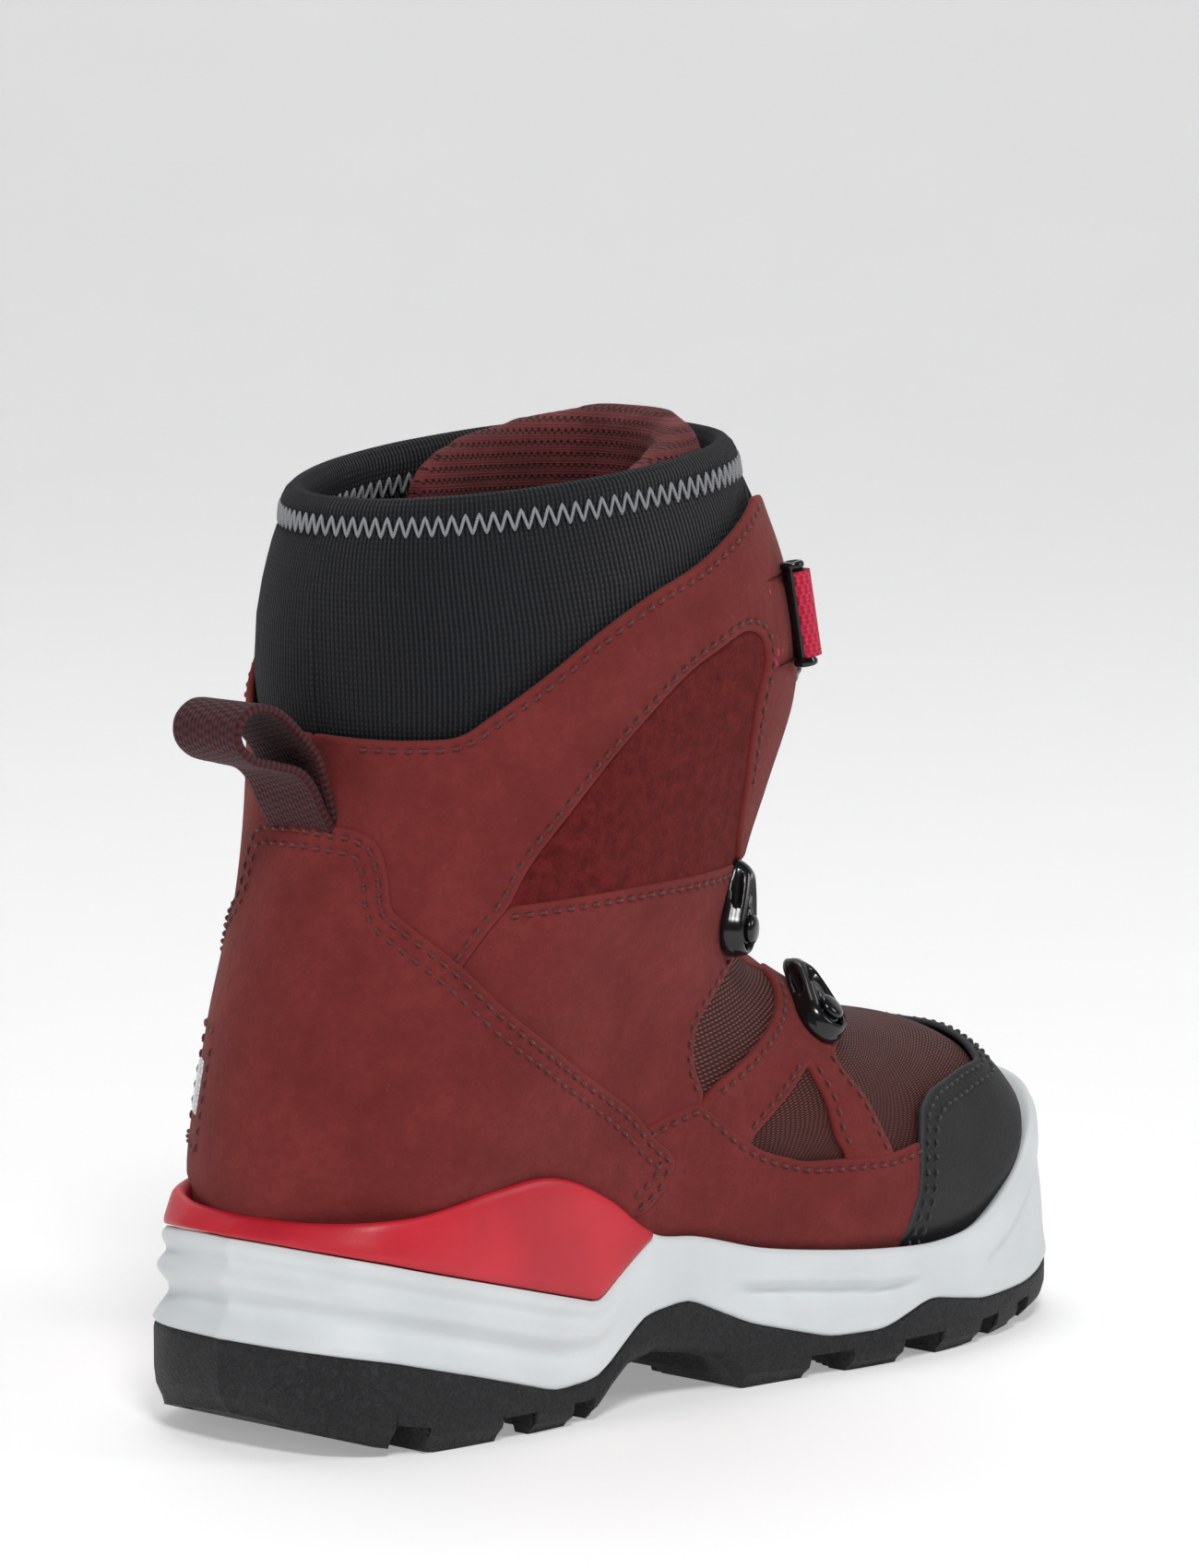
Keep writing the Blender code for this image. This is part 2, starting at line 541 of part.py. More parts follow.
def build_panels():
    quarter = ([BACK_TOP] + on_outer(TOP_LINE) + [THROAT_TOP, THROAT_ANKLE] + on_outer(INSET_EDGE)
               + on_outer(HEEL_EDGE[4::-1]) + [BACK_HEEL])
    both_sides("quarter", quarter, LEATHER, NUBUCK)
    both_sides("ankle_inset", on_outer(INSET_EDGE + INSET_FOOT[1:-1]), LEATHER, SUEDE)
    side = (on_outer(HEEL_EDGE[4:5] + INSET_FOOT) + [THROAT_ANKLE, THROAT_LOW]
            + on_outer(WINDOW_BACK + SIDE_LOW + [HEEL_EDGE[6], HEEL_EDGE[5]]))
    both_sides("side_panel", side, LEATHER, NUBUCK)
    heel = on_outer(HEEL_EDGE + HEEL_FEATHER)
    patch("heel_overlay", [BACK_HEEL] + heel + [BACK_FEATHER] + wrapped(heel), LEATHER, NUBUCK)
    guard = on_outer(HEEL_EDGE[:7:-1] + SIDE_LOW[::-1] + GUARD_TOP + CAP_EDGE[2::-1] + GUARD_FEATHER)
    both_sides("mudguard", guard, LEATHER, NUBUCK)
    stay = (on_outer([(92.6, 55.4)] + WINDOW_FRONT) + [STAY_TOP, STAY_TOE] + on_outer(STRAP_TOE)
            + on_outer([(133.8, 38.9), (124.9, 39.6)] + STRAP_FRONT[1:] + STRAP_REAR[1::-1] + [(101, 46.2)]))
    both_sides("instep_stay", stay, LEATHER, NUBUCK)
    window = on_outer(WINDOW_BACK + WINDOW_FRONT) + [THROAT_END, THROAT_LOW]
    both_sides("window_mesh", window[1:], LEATHER, MESH)
    corner = on_outer(STRAP_REAR + [STRAP_FRONT[1], (124.6, 40)] + GUARD_TOP[2:0:-1])
    both_sides("corner_mesh", corner, LEATHER, MESH)
    vamp = [STAY_TOP, STAY_TOE] + on_outer(STRAP_TOE + CAP_EDGE[3:])
    patch("vamp_mesh", vamp + [CAP_TOP] + mirrored(vamp), LEATHER, MESH)
    cap = on_outer(CAP_EDGE)
    toe = on_outer(CAP_FEATHER)[::-1]
    patch("toe_cap", [CAP_TOP] + cap[::-1] + toe + [CAP_TIP] + mirrored(cap[::-1] + toe), LEATHER, CAP_COAT)
    shield = [(1.85, -SHIELD_W), (5.5, -SHIELD_W), (7, -0.21), (8.15, -0.12), (8.35, -0.06)]
    patch("instep_shield", shield + mirrored(shield), LEATHER, NUBUCK)


def build_lining():
    columns = 22
    outer_rows = [5, 6, 7, 8, 9, 10, 11.4, 13, 14.6, 16.2, 17.6, 18.6, 19.4]
    inner_rows = [5, 6, 7, 8, 9, 10, 11.4, 13, 14.6, 16.2, 17.6, 18.6]
    rings = tube_rows(inner_rows[::-1], LINING[1], columns) + tube_rows(outer_rows, LINING[0], columns)
    add_mesh("lining", *loft(rings), FLEECE)
    rows = [1.05, 1.6, 2.3, 3, 3.8, 4.7]
    rings = tube_rows(rows, COLLAR_SKIN[0], columns) + tube_rows(rows[::-1], COLLAR_SKIN[1], columns)
    add_mesh("collar", *loft(rings + rings[:1], (False, False)), NEOPRENE)
    tongue = [(0.42, 0), (0.46, -0.16), (0.66, -0.27), (1.1, -0.31), (3, -0.29), (5.5, -0.22), (7.6, -0.13),
              (8, 0)]
    pad = patch("tongue", tongue + mirrored(tongue)[1:-1], TONGUE_PAD, TONGUE_MESH, gap=0)
    set_origin(pad, TONGUE_HINGE)


def build_stiffeners():
    edge = [(14, 80), (38, 72), (52, 58), (58, 44), (50, 30), (30, 28), (12, 32)]
    counter = on_outer(edge)
    patch("heel_counter", [(6.5, -1)] + counter + [(9.6, -1)] + wrapped(counter), STIFFENER, BOARD)
    puff = [(16.7, -0.02), (16.5, -0.25), (16, -0.48), (16.7, -0.6), (18.3, -0.5), (18.9, -0.2), (19, -0.02)]
    patch("toe_puff", puff + mirrored(puff), STIFFENER, BOARD)
    board = on_outer([(14, 27), (30, 24.5), (58, 23.5), (86, 24.6), (112, 19.4), (135, 17.5), (153, 17),
                      (168, 18.5), (181, 21.5)])
    patch("insole_board", [(9.85, -1)] + board + [(18.2, -1)] + wrapped(board), BOARD_LAYER, BOARD)
    shank = [(10.7, -0.92), (14.2, -0.92)]
    patch("shank", shank + wrapped(shank), STIFFENER, STEEL)


def build_footbed():
    """The loose insole: flat on top, its edges sloping down to a narrower underside."""
    x = np.linspace(38, 178, 24)
    rings = []
    for lift, inset in ((8.8, 16), (13, 10.5)):
        z = underside(x) + lift
        rings += [np.column_stack([x, centre_line(x) + sign * (half_width(x, z, side) - inset), z])
                  for side, sign in ((0, -1), (1, 1))]
    low_outer, low_inner, top_outer, top_inner = rings
    points, faces = loft([low_outer, top_outer, top_inner, low_inner, low_outer], (False, False))
    count = len(x)
    faces = [face for face in faces if abs(face[0] % count - face[1] % count) == 1]
    faces += [[i * count + end for i in range(4)] for end in (0, count - 1)]
    add_mesh("footbed", points, faces, FLEECE)


def build_pull_loop():
    """One webbing band, both ends sewn in under the heel overlay's top edge."""
    path = curve([(i, x, z) for i, (x, z) in enumerate(LOOP_PATH)])
    t = np.linspace(0, len(LOOP_PATH) - 1, 27)
    place, heading = path(t), path(t + 0.02) - path(t - 0.02)
    side = np.stack([-heading[:, 1], heading[:, 0]], 1)
    side *= LOOP_THICK / 2 / np.linalg.norm(side, axis=1, keepdims=True)
    low, high = LOOP_CENTRE_Y - LOOP_WIDTH / 2, LOOP_CENTRE_Y + LOOP_WIDTH / 2
    rings = []
    for (x, z), (dx, dz) in zip(place, side):
        rings.append(np.array([(x + dx, low, z + dz), (x - dx, low, z - dz),
                               (x - dx, high, z - dz), (x + dx, high, z + dz)]))
    band = add_mesh("pull_loop", *loft(rings), WEBBING)
    set_origin(band, LOOP_HINGE)


def build_upper():
    build_panels()
    build_lining()
    build_stiffeners()
    build_footbed()
    build_pull_loop()
    strip = [(7.45, 0.81), (8.15, 0.81), (8.15, 0.865), (7.45, 0.865)]
    patch("reflective_strip", strip, (0.3, 1.0), REFLECTOR, gap=0)


# ---------------------------------------------------------------- lace hardware
def frame_at(s, w, toward, footprint):
    """Origin, along, across and up of a flat part on the skin, clear of the skin under its footprint."""
    origin = skin(s, w)
    up = normals(s, w)
    along = skin(*toward) - origin
    along -= up * (along @ up)
    along /= np.linalg.norm(along)
    across = np.cross(up, along)
    spread = np.linspace(-1, 1, 9)
    around = skin(s + footprint[0] * spread[:, None], w + footprint[1] * spread)
    lift = ((around - origin) @ up).max() + TOP_GAP
    return origin + up * lift, along, across, up


def placed(frame, points):
    origin, *axes = frame
    return origin + np.asarray(points, float) @ np.array(axes)


def turned(name, profile, frame, material, segments=24, at=(0, 0)):
    """A turned piece from a closed profile of (radius, height), around the frame's up axis."""
    angles = np.arange(segments) * 2 * np.pi / segments
    rings = [placed(frame, [(at[0] + r * math.cos(a), at[1] + r * math.sin(a), h) for r, h in profile])
             for a in angles]
    points = np.concatenate(rings)
    count = len(profile)
    faces = []
    for i in range(segments):
        j = (i + 1) % segments
        for a in range(count):
            b = (a + 1) % count
            if profile[a][0] or profile[b][0]:
                faces.append([i * count + a, i * count + b, j * count + b, j * count + a])
    return add_mesh(name, points, faces, material)


def bent_tube(name, frame, path, radius, sides=6):
    """A tube with closed ends along a path in a frame."""
    route = curve([(i,) + p for i, p in enumerate(path)])
    t = np.linspace(0, len(path) - 1, 2 * len(path))
    place, heading = route(t), route(t + 0.02) - route(t - 0.02)
    heading /= np.linalg.norm(heading, axis=1, keepdims=True)
    side = np.stack([-heading[:, 1], heading[:, 0], heading[:, 0] * 0], 1)
    side /= np.linalg.norm(side, axis=1, keepdims=True)
    other = np.cross(heading, side)
    angles = (np.arange(sides) + 0.5) * 2 * np.pi / sides
    rings = [placed(frame, [p + radius * (math.cos(a) * u + math.sin(a) * v) for a in angles])
             for p, u, v in zip(place, side, other)]
    return add_mesh(name, *loft(rings), BLACK_PLASTIC)


def teardrop(length, width, steps=10):
    """Outline of a guide in its own plane: a round end at the origin and a blunt nose `length` away."""
    radius = width / 2
    nose = radius * 0.45
    reach = length - radius - nose
    lean = math.asin((radius - nose) / reach)
    turn = math.pi / 2 + lean
    big = [(-radius * math.cos(a), radius * math.sin(a)) for a in np.linspace(-turn, turn, steps)]
    small_turn = math.pi / 2 - lean
    small_angles = np.linspace(small_turn, -small_turn, 5)
    small = [(reach + nose * math.cos(a), nose * math.sin(a)) for a in small_angles]
    return big + small


def lace_guide(name, place, toward, length, width):
    """A moulded guide with a lace tunnel round its rivet, and the rivet that holds it."""
    frame = frame_at(*place, toward, (0.75, 0.06))
    outline = teardrop(length, width)
    shrink = 0.86
    rings = [placed(frame, [(u * f, v * f, h) for u, v in outline])
             for f, h in ((1, 0), (1, GUIDE_HEIGHT * 0.6), (shrink, GUIDE_HEIGHT))]
    guide = add_mesh(name, *loft(rings), BLACK_PLASTIC)
    bore = turned(name + "_bore_cutter", [(0, -1), (RIVET_BORE, -1), (RIVET_BORE, GUIDE_HEIGHT + 1),
                                          (0, GUIDE_HEIGHT + 1)], frame, BLACK_PLASTIC, 12)
    cut(guide, bore, "rivet_bore")
    leg = width / 2 - RIVET_BORE
    leg_in = [(length, leg), (length * 0.45, leg), (0.3, leg), (-leg * 0.75, leg * 0.7)]
    leg_out = [(u, -v) for u, v in reversed(leg_in)]
    path = [(u, v, TUNNEL_HEIGHT) for u, v in leg_in + [(-leg, 0)] + leg_out]
    cut(guide, bent_tube(name + "_tunnel_cutter", frame, path, TUNNEL_RADIUS), "lace_tunnel")
    head = GUIDE_HEIGHT + RIVET_PLAY
    turned(name.replace("guide", "rivet"),
           [(0, 0), (RIVET_RADIUS, 0), (RIVET_RADIUS, head), (RIVET_HEAD, head),
            (RIVET_HEAD - 0.4, head + 1), (0, head + 1.2)], frame, STEEL, 14)


def cuff_guide(side, sign):
    """The tube that carries the lace down the edge of the throat, and the webbing that holds it."""
    station, place = CUFF_GUIDE_PLACE
    frame = frame_at(station, sign * place, (station + 0.5, sign * place), (0.3, 0.02))
    forward = math.copysign(1, frame[2] @ (skin(station, sign * SHIELD_W) - skin(station, sign * place)))
    tube_at = TUBE_FORWARD * forward
    centre = TUBE_RADIUS + WEB_THICK + 0.1
    angles = (np.arange(12) + 0.5) * np.pi / 6
    for ending, radius, half in (("", TUBE_RADIUS, TUBE_HALF), ("_cutter", TUNNEL_RADIUS, TUBE_HALF + 1)):
        rings = [placed(frame, [(u, tube_at + radius * math.cos(a), centre + radius * math.sin(a))
                                for a in angles]) for u in (-half, half)]
        piece = add_mesh("cuff_tube_" + side + ending, *loft(rings), BLACK_PLASTIC)
        tube = cut(tube, piece, "lace_bore") if ending else piece
    inner, outer = TUBE_RADIUS + 0.3, TUBE_RADIUS + 0.3 + WEB_THICK
    arc = np.linspace(-0.5 * math.pi, 0.9 * math.pi, 12)
    section = [(tube_at + forward * outer * math.cos(a), centre + outer * math.sin(a)) for a in arc]
    section += [(tube_at + forward * inner * math.cos(a), centre + inner * math.sin(a)) for a in arc[::-1]]
    section += [(-TAB_REACH * forward, centre - inner), (-TAB_REACH * forward, centre - outer)]
    rings = [placed(frame, [(u, v, h) for v, h in section]) for u in (-TAB_HALF, TAB_HALF)]
    count = len(section)
    faces = [[i, (i + 1) % count, (i + 1) % count + count, i + count] for i in range(count)]
    faces += [list(range(count)), list(range(2 * count - 1, count - 1, -1))]
    add_mesh("cuff_webbing_" + side, np.concatenate(rings), faces, RED_WEBBING, smooth=False)


def build_dial():
    """The dial on the instep shield: base, spool, pull-out knob and its cap."""
    frame = frame_at(DIAL_STATION, 0, (DIAL_STATION + 0.5, 0), (0.4, 0.08))
    frame = (skin(DIAL_STATION, 0) + frame[3] * 0.5,) + frame[1:]
    r = DIAL_RADIUS
    base = turned("dial_base", [(0, 0), (r, 0), (r, 5.1), (r - 1.6, 5.1), (r - 1.6, 1.6), (1.9, 1.6),
                                (1.9, 3.6), (0, 3.6)], frame, BLACK_PLASTIC, 28)
    for angle in DIAL_PORT_ANGLES:
        u, v = math.cos(math.radians(angle)), math.sin(math.radians(angle))
        port = bent_tube("dial_port_cutter_%d" % angle, frame,
                         [(k * u, k * v, DIAL_PORT_HEIGHT) for k in (r - 3.5, r - 1.5, r, r + 2)],
                         TUNNEL_RADIUS)
        cut(base, port, "lace_port_%d" % angle)
    spool = turned("dial_spool", [(2.2, 1.9), (8.6, 1.9), (8.6, 2.5), (6.6, 2.8), (6.6, 4.2), (8.6, 4.5),
                                  (8.6, 5.2), (4.6, 5.2), (4.6, 3.9), (2.2, 3.9)], frame, BLACK_PLASTIC, 20)
    knob = turned("dial_knob", [(2.2, 4.2), (4.3, 4.2), (4.3, 5.7), (r + 0.9, 5.7), (r + 0.7, 10.2),
                                (r - 1, 11.8), (8.4, 11.8), (8.4, 9.6), (4.3, 9.6), (4.3, 8.6), (2.2, 8.6)],
                  frame, BLACK_PLASTIC, 28)
    cap = turned("dial_cap", [(0, 9.9), (8.1, 9.9), (8.1, 11.6), (7, 12.1), (0, 12.4)],
                 frame, RED_PLASTIC, 20)
    for piece in (base, spool, knob, cap):
        set_origin(piece, frame[0])


def build_hardware():
    for side, sign in (("lateral", -1), ("medial", 1)):
        lace_guide("ankle_guide_" + side, (6.55, sign * 0.262), (5.6, sign * 0.25), 18, 10.5)
        lace_guide("instep_guide_" + side, (9.75, sign * 0.205), (8.9, sign * 0.11), 20, 11)
        cuff_guide(side, sign)
    build_dial()


TONGUE_HINGE = raised(np.array([7.8]), np.array([0.0]), np.array([-9.5]))[0]
LOOP_CENTRE_Y = 1.0
LOOP_HINGE = (21.0, LOOP_CENTRE_Y, 110.0)


def main():
    for old in list(bpy.data.objects):
        bpy.data.objects.remove(old, do_unlink=True)
    build_sole()
    build_upper()
    build_hardware()


if __name__ == "__main__":
    main()
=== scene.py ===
"""A child's winter hiking boot for the right foot, sewn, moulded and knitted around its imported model.

Lengths are millimetres, with x measured forward from the back of the sole, until `to_scene` turns them
into metres in the model's frame. The upper is one skin charted by (s, w): s counts stations from the
top of the tongue to the toe tip, and w runs round the boot, 0 along the front and top line, -1 or +1
along the back and under line, minus on the outer side of the foot.
"""

import json
import math

import bmesh
import bpy
import numpy as np
from mathutils import Matrix, Vector
from mathutils.geometry import delaunay_2d_cdt

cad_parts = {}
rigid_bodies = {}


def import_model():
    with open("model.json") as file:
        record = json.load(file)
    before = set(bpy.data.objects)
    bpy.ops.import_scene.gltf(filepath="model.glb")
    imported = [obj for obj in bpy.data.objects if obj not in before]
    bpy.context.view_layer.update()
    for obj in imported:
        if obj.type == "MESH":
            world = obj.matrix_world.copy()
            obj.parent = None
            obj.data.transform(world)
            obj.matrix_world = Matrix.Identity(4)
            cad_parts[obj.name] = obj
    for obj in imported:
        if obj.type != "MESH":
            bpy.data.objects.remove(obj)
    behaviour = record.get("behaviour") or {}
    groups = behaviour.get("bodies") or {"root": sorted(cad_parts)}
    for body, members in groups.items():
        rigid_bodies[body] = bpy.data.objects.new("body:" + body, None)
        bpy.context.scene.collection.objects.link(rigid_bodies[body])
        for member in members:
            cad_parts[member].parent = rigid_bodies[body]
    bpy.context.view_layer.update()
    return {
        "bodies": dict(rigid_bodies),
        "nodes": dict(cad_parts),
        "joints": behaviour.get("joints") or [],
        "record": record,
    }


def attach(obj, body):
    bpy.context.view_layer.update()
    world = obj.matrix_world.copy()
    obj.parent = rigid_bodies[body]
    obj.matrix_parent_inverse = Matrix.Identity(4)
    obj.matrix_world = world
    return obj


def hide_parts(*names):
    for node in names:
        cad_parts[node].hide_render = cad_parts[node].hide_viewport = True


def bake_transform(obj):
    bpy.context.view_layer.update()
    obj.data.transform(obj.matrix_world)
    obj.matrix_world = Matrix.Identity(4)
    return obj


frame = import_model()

bl_info = {
    "name": "Winter Hiking Boot",
    "version": (1, 0, 0),
    "blender": (4, 5, 0),
    "location": "3D View > Sidebar > Boot",
    "description": "Sews, moulds and knits a child's winter boot around its packed model",
    "category": "Add Mesh",
}

# ---------------------------------------------------------------- the last, the sole and the pattern pieces
MM = 0.001
HEEL_BACK = 30.0
STATIONS = [
    (119, 184, 29, 177), (121, 171, 26.5, 163), (128, 155, 24.5, 149), (132, 138, 24.5, 133),
    (131.5, 121, 24.5, 119), (126, 104, 22.5, 104), (121, 91, 18.5, 88), (123, 81, 12.5, 72),
    (129.5, 75.5, 8.5, 56), (138, 70.5, 7, 42), (146.5, 66, 9.5, 27), (154, 63, 30, 19),
    (161, 61, 58, 18.5), (168, 59.3, 86, 21), (175, 58, 112, 16), (181, 56.5, 135, 13),
    (187, 54, 153, 12.5), (192, 50.8, 168, 14), (197, 46, 181, 17), (201.5, 40.5, 192, 21),
    (204.5, 35, 200, 25.5), (205.5, 30, 205.5, 30),
]
FOOT_HALF = [(0, 24, 25), (15, 29.5, 30.5), (35, 31.3, 31.3), (60, 31.8, 30), (85, 32.6, 30.4),
             (110, 35.6, 33.8), (135, 39, 38), (155, 39.5, 38), (175, 38.5, 36), (206, 37, 34)]
SHAFT_HALF = [(40, 33, 32), (60, 33.5, 32.5), (80, 35.5, 35), (100, 38, 37.5), (120, 40, 39.5),
              (140, 41, 40), (160, 38.5, 35), (184, 36.5, 33)]
CENTRE_LINE = [(0, 0), (60, 0), (110, -0.5), (150, 0.5), (180, 2.5), (206, 4)]
FRONT_ROUND = [(0, 46), (1, 48), (2, 50), (4, 52), (5, 58), (7, 52), (9, 42), (11, 38), (15, 35), (21, 34)]
BACK_ROUND = [(27, 33), (50, 34), (70, 40), (90, 45), (120, 47), (163, 50), (184, 50)]
UNDER_ROUND = 14.0
SOLE_OUTER = [(0, 0), (3.5, -17), (15, -29), (40, -33.8), (75, -34.6), (105, -37.8), (140, -43), (167, -41),
              (190, -32.6), (205, -16), (211.5, 3)]
SOLE_INNER = [(0, 0), (3.5, 17), (15, 29.2), (40, 33.6), (75, 33), (108, 36.4), (143, 42.4), (170, 41.6),
              (192, 35), (206, 21.5), (211.5, 3)]
TREAD_Z = [(0, 6.5), (6, 4.4), (13, 2.2), (24, 0), (60, 0), (62, 0.8), (66, 4.6), (71, 8.4), (78, 10),
           (88, 8.4), (95, 6.2), (100, 0), (155, 0), (172, 0.8), (187, 2.2), (200, 4.6), (211.5, 8.5)]
PARTING_Z = [(0, 20), (14, 17.5), (33, 12.5), (51, 7.4), (62, 8), (74, 17.5), (85, 19), (100, 12.5),
             (119, 7.4), (132, 7.2), (144, 11.5), (161, 8.6), (178, 8.6), (190, 10), (200, 12), (211.5, 16)]
STABILIZER_Z = [(0, 37.5), (14, 34.5), (33, 29.5), (63, 21.5), (77, 32)]
RIM_Z = [(0, 40.8), (12, 41.5), (21, 42), (38, 45), (51, 45.5), (66, 39.5), (77, 32), (88, 30),
         (103, 26), (119, 23.5), (134, 22), (148, 21.5), (161, 23), (175, 29), (188, 37), (198, 42),
         (211.5, 44)]
RIM_INSET = [(0, 5.6), (12, 3.2), (30, 1), (60, 0.3), (150, 0.3), (190, 1.4), (211.5, 4)]
NOTCHES = [(15.5, 22), (38, 46), (55.5, 61), (114.5, 124.5), (137, 148), (160, 166), (174, 179)]
NOTCH_HIGH = 4.3

# Pattern lines on the outer side, as (x, z) in the side view; the inner side mirrors them.
TOP_LINE = [(26, 124.4), (30, 124.5), (35, 125.4), (39, 129), (49, 137), (56, 142), (68, 148),
            (80, 152), (94, 157.5), (106, 162.5)]
HEEL_TOP = [(24.8, 108.6), (26, 106.5), (26.2, 102.8), (25.6, 95)]
HEEL_SLANT = [(25.6, 95), (33, 85), (40, 77), (53, 67.6), (75.5, 51.7), (82, 46.5)]
HEEL_NOSE = [(82, 46.5), (83, 44.5), (81.3, 40.6), (72, 34)]
INSET_REAR = [(41, 95.2), (44, 101), (50.6, 109.6), (64, 124), (78.3, 134.3), (89, 138.8)]
INSET_CROWN = [(89, 138.8), (94, 140), (99, 138.5), (101, 134)]
INSET_FRONT = [(101, 134), (99, 128), (99.5, 120), (101, 108), (101.4, 104), (104, 96)]
INSET_FOOT = [(41, 95.2), (56, 96), (71, 96.3), (88, 96.2), (104, 96)]
QUARTER_TAIL = [(33, 85), (37, 90.5), (41, 95.2)]
WINDOW_BACK = [(106.5, 79.4), (96.3, 73.4), (89.6, 67.2), (89.1, 60.9), (91.5, 55.8)]
WINDOW_FRONT = [(94.5, 56.8), (103, 60), (111, 63.2), (119, 66.9), (125.5, 71.6)]
STRAP_REAR = [(103.4, 46.4), (113, 52), (121.6, 57)]
STRAP_FRONT = [(125.4, 41), (123.4, 50), (121.6, 57)]
STRAP_TOE = [(130.4, 57.6), (134.5, 49.5), (138.4, 40)]
GUARD_TOP = [(89.7, 54.2), (95, 50.5), (100.2, 46.5), (108.9, 42.2), (119.5, 39.9), (133.8, 38.9),
             (147.5, 39.8)]
CAP_SIDE = [(137, 15.5), (141, 25), (143.8, 30.4), (146.7, 40.3), (149.5, 45)]
CAP_BROW = [(149.5, 45), (154, 47), (165, 48.4), (179.7, 49)]


# ---------------------------------------------------------------- curves and the boot's skin
def curve(rows):
    """A smooth curve through rows of (t, value, ...), whose slope at each row follows its neighbours."""
    rows = np.asarray(rows, float)
    t, v = rows[:, 0], rows[:, 1:]
    slope = np.gradient(v, t, axis=0)

    def at(q):
        q = np.clip(np.asarray(q, float), t[0], t[-1])
        i = np.clip(np.searchsorted(t, q, side="right") - 1, 0, len(t) - 2)
        h = (t[i + 1] - t[i])[..., None]
        u = (q - t[i])[..., None] / h
        start = (2 * u**3 - 3 * u**2 + 1) * v[i] + (u**3 - 2 * u**2 + u) * h * slope[i]
        end = (3 * u**2 - 2 * u**3) * v[i + 1] + (u**3 - u**2) * h * slope[i + 1]
        value = start + end
        return value if v.shape[1] > 1 else value[..., 0]

    return at


def straight(rows):
    """Straight stretches through rows of (t, value)."""
    t, v = np.asarray(rows, float).T
    return lambda q: np.interp(q, t, v)


LAST = len(STATIONS) - 1
FRONT = curve([(i, x, z) for i, (x, z, _, _) in enumerate(STATIONS)])
BACK = curve([(i, x, z) for i, (_, _, x, z) in enumerate(STATIONS)])
LINE_STEPS = np.linspace(0, LAST, 300)
FRONT_LINE = FRONT(LINE_STEPS)
BACK_LINE = BACK(LINE_STEPS[LINE_STEPS <= 10])[::-1]
UNDER_LINE = BACK(LINE_STEPS[LINE_STEPS > 9.7])
foot_half, shaft_half = curve(FOOT_HALF), curve(SHAFT_HALF)
centre_line, front_round, back_round = curve(CENTRE_LINE), curve(FRONT_ROUND), curve(BACK_ROUND)
FINE_S, FINE_W = 0.05, 0.005


def underside(x):
    """Height of the upper's underside at x."""
    return np.interp(x, UNDER_LINE[:, 0], UNDER_LINE[:, 1])


def ease(t):
    t = np.clip(t, 0, 1)
    return t * t * (3 - 2 * t)


def shoulder(depth, reach, power):
    """0 at the edge, 1 from `reach` inwards, as a rounded shoulder."""
    return (1 - (1 - np.clip(depth / reach, 0, 1)) ** power) ** (1 / power)


def front_depth(x, z):
    """How far (x, z) lies behind the front line, and the station next to it."""
    start, step = FRONT_LINE[:-1], np.diff(FRONT_LINE, axis=0)
    point = np.stack([x, z], -1)[..., None, :]
    along = np.clip(((point - start) * step).sum(-1) / (step * step).sum(-1), 0, 1)
    depth = np.linalg.norm(point - start - along[..., None] * step, axis=-1)
    i = depth.argmin(-1)[..., None]
    station = (i + np.take_along_axis(along, i, -1))[..., 0] * LAST / len(start)
    return np.take_along_axis(depth, i, -1)[..., 0], station


def half_widths(x, z):
    """Half the boot's width at (x, z) of the side view, on the outer and the inner side."""
    depth, station = front_depth(x, z)
    shaft = ease((z - 42) / 50)[..., None]
    widest = foot_half(x) * (1 - shaft) + shaft_half(z) * shaft
    behind = x - np.interp(z, BACK_LINE[:, 1], BACK_LINE[:, 0])
    rounded = (shoulder(depth, front_round(station), 2.25) * shoulder(behind, back_round(z), 2.1)
               * shoulder(z - underside(x), UNDER_ROUND, 3))
    return widest * rounded[..., None]


def chart_skin():
    """Points, outward normals and cloth lengths (round, along) of the skin on a fine chart grid."""
    rows = np.arange(0, LAST + FINE_S / 2, FINE_S)
    w = np.linspace(0, 1, round(1 / FINE_W) + 1)
    share = ((1 - np.cos(np.pi * w)) / 2)[:, None]
    points = []
    for s in rows:
        x, z = (FRONT(s) * (1 - share) + BACK(s) * share).T
        outer, inner = half_widths(x, z).T
        sides = [np.stack([x, centre_line(x) + y, z], -1) for y in (-outer, inner)]
        points.append(np.concatenate([sides[0][::-1], sides[1][1:]]))
    points = np.array(points)
    along = np.gradient(points, axis=0)
    ring = points[:, :-1]
    around = np.roll(ring, -1, axis=1) - np.roll(ring, 1, axis=1)
    around = np.concatenate([around, around[:, :1]], axis=1)
    out = np.cross(along, around)
    out /= np.maximum(np.linalg.norm(out, axis=-1, keepdims=True), 1e-9)
    out[0], out[-1] = out[1], out[-2]
    middle = len(w) - 1
    turn = np.cumsum(np.linalg.norm(np.diff(points, axis=1), axis=-1), axis=1)
    turn = np.concatenate([turn[:, :1] * 0, turn], axis=1)
    down = np.cumsum(np.linalg.norm(np.diff(points, axis=0), axis=-1), axis=0)
    down = np.concatenate([down[:1] * 0, down])
    return points, out, np.stack([turn - turn[:, middle : middle + 1], down], -1)


SKIN, OUTWARD, CLOTH = chart_skin()


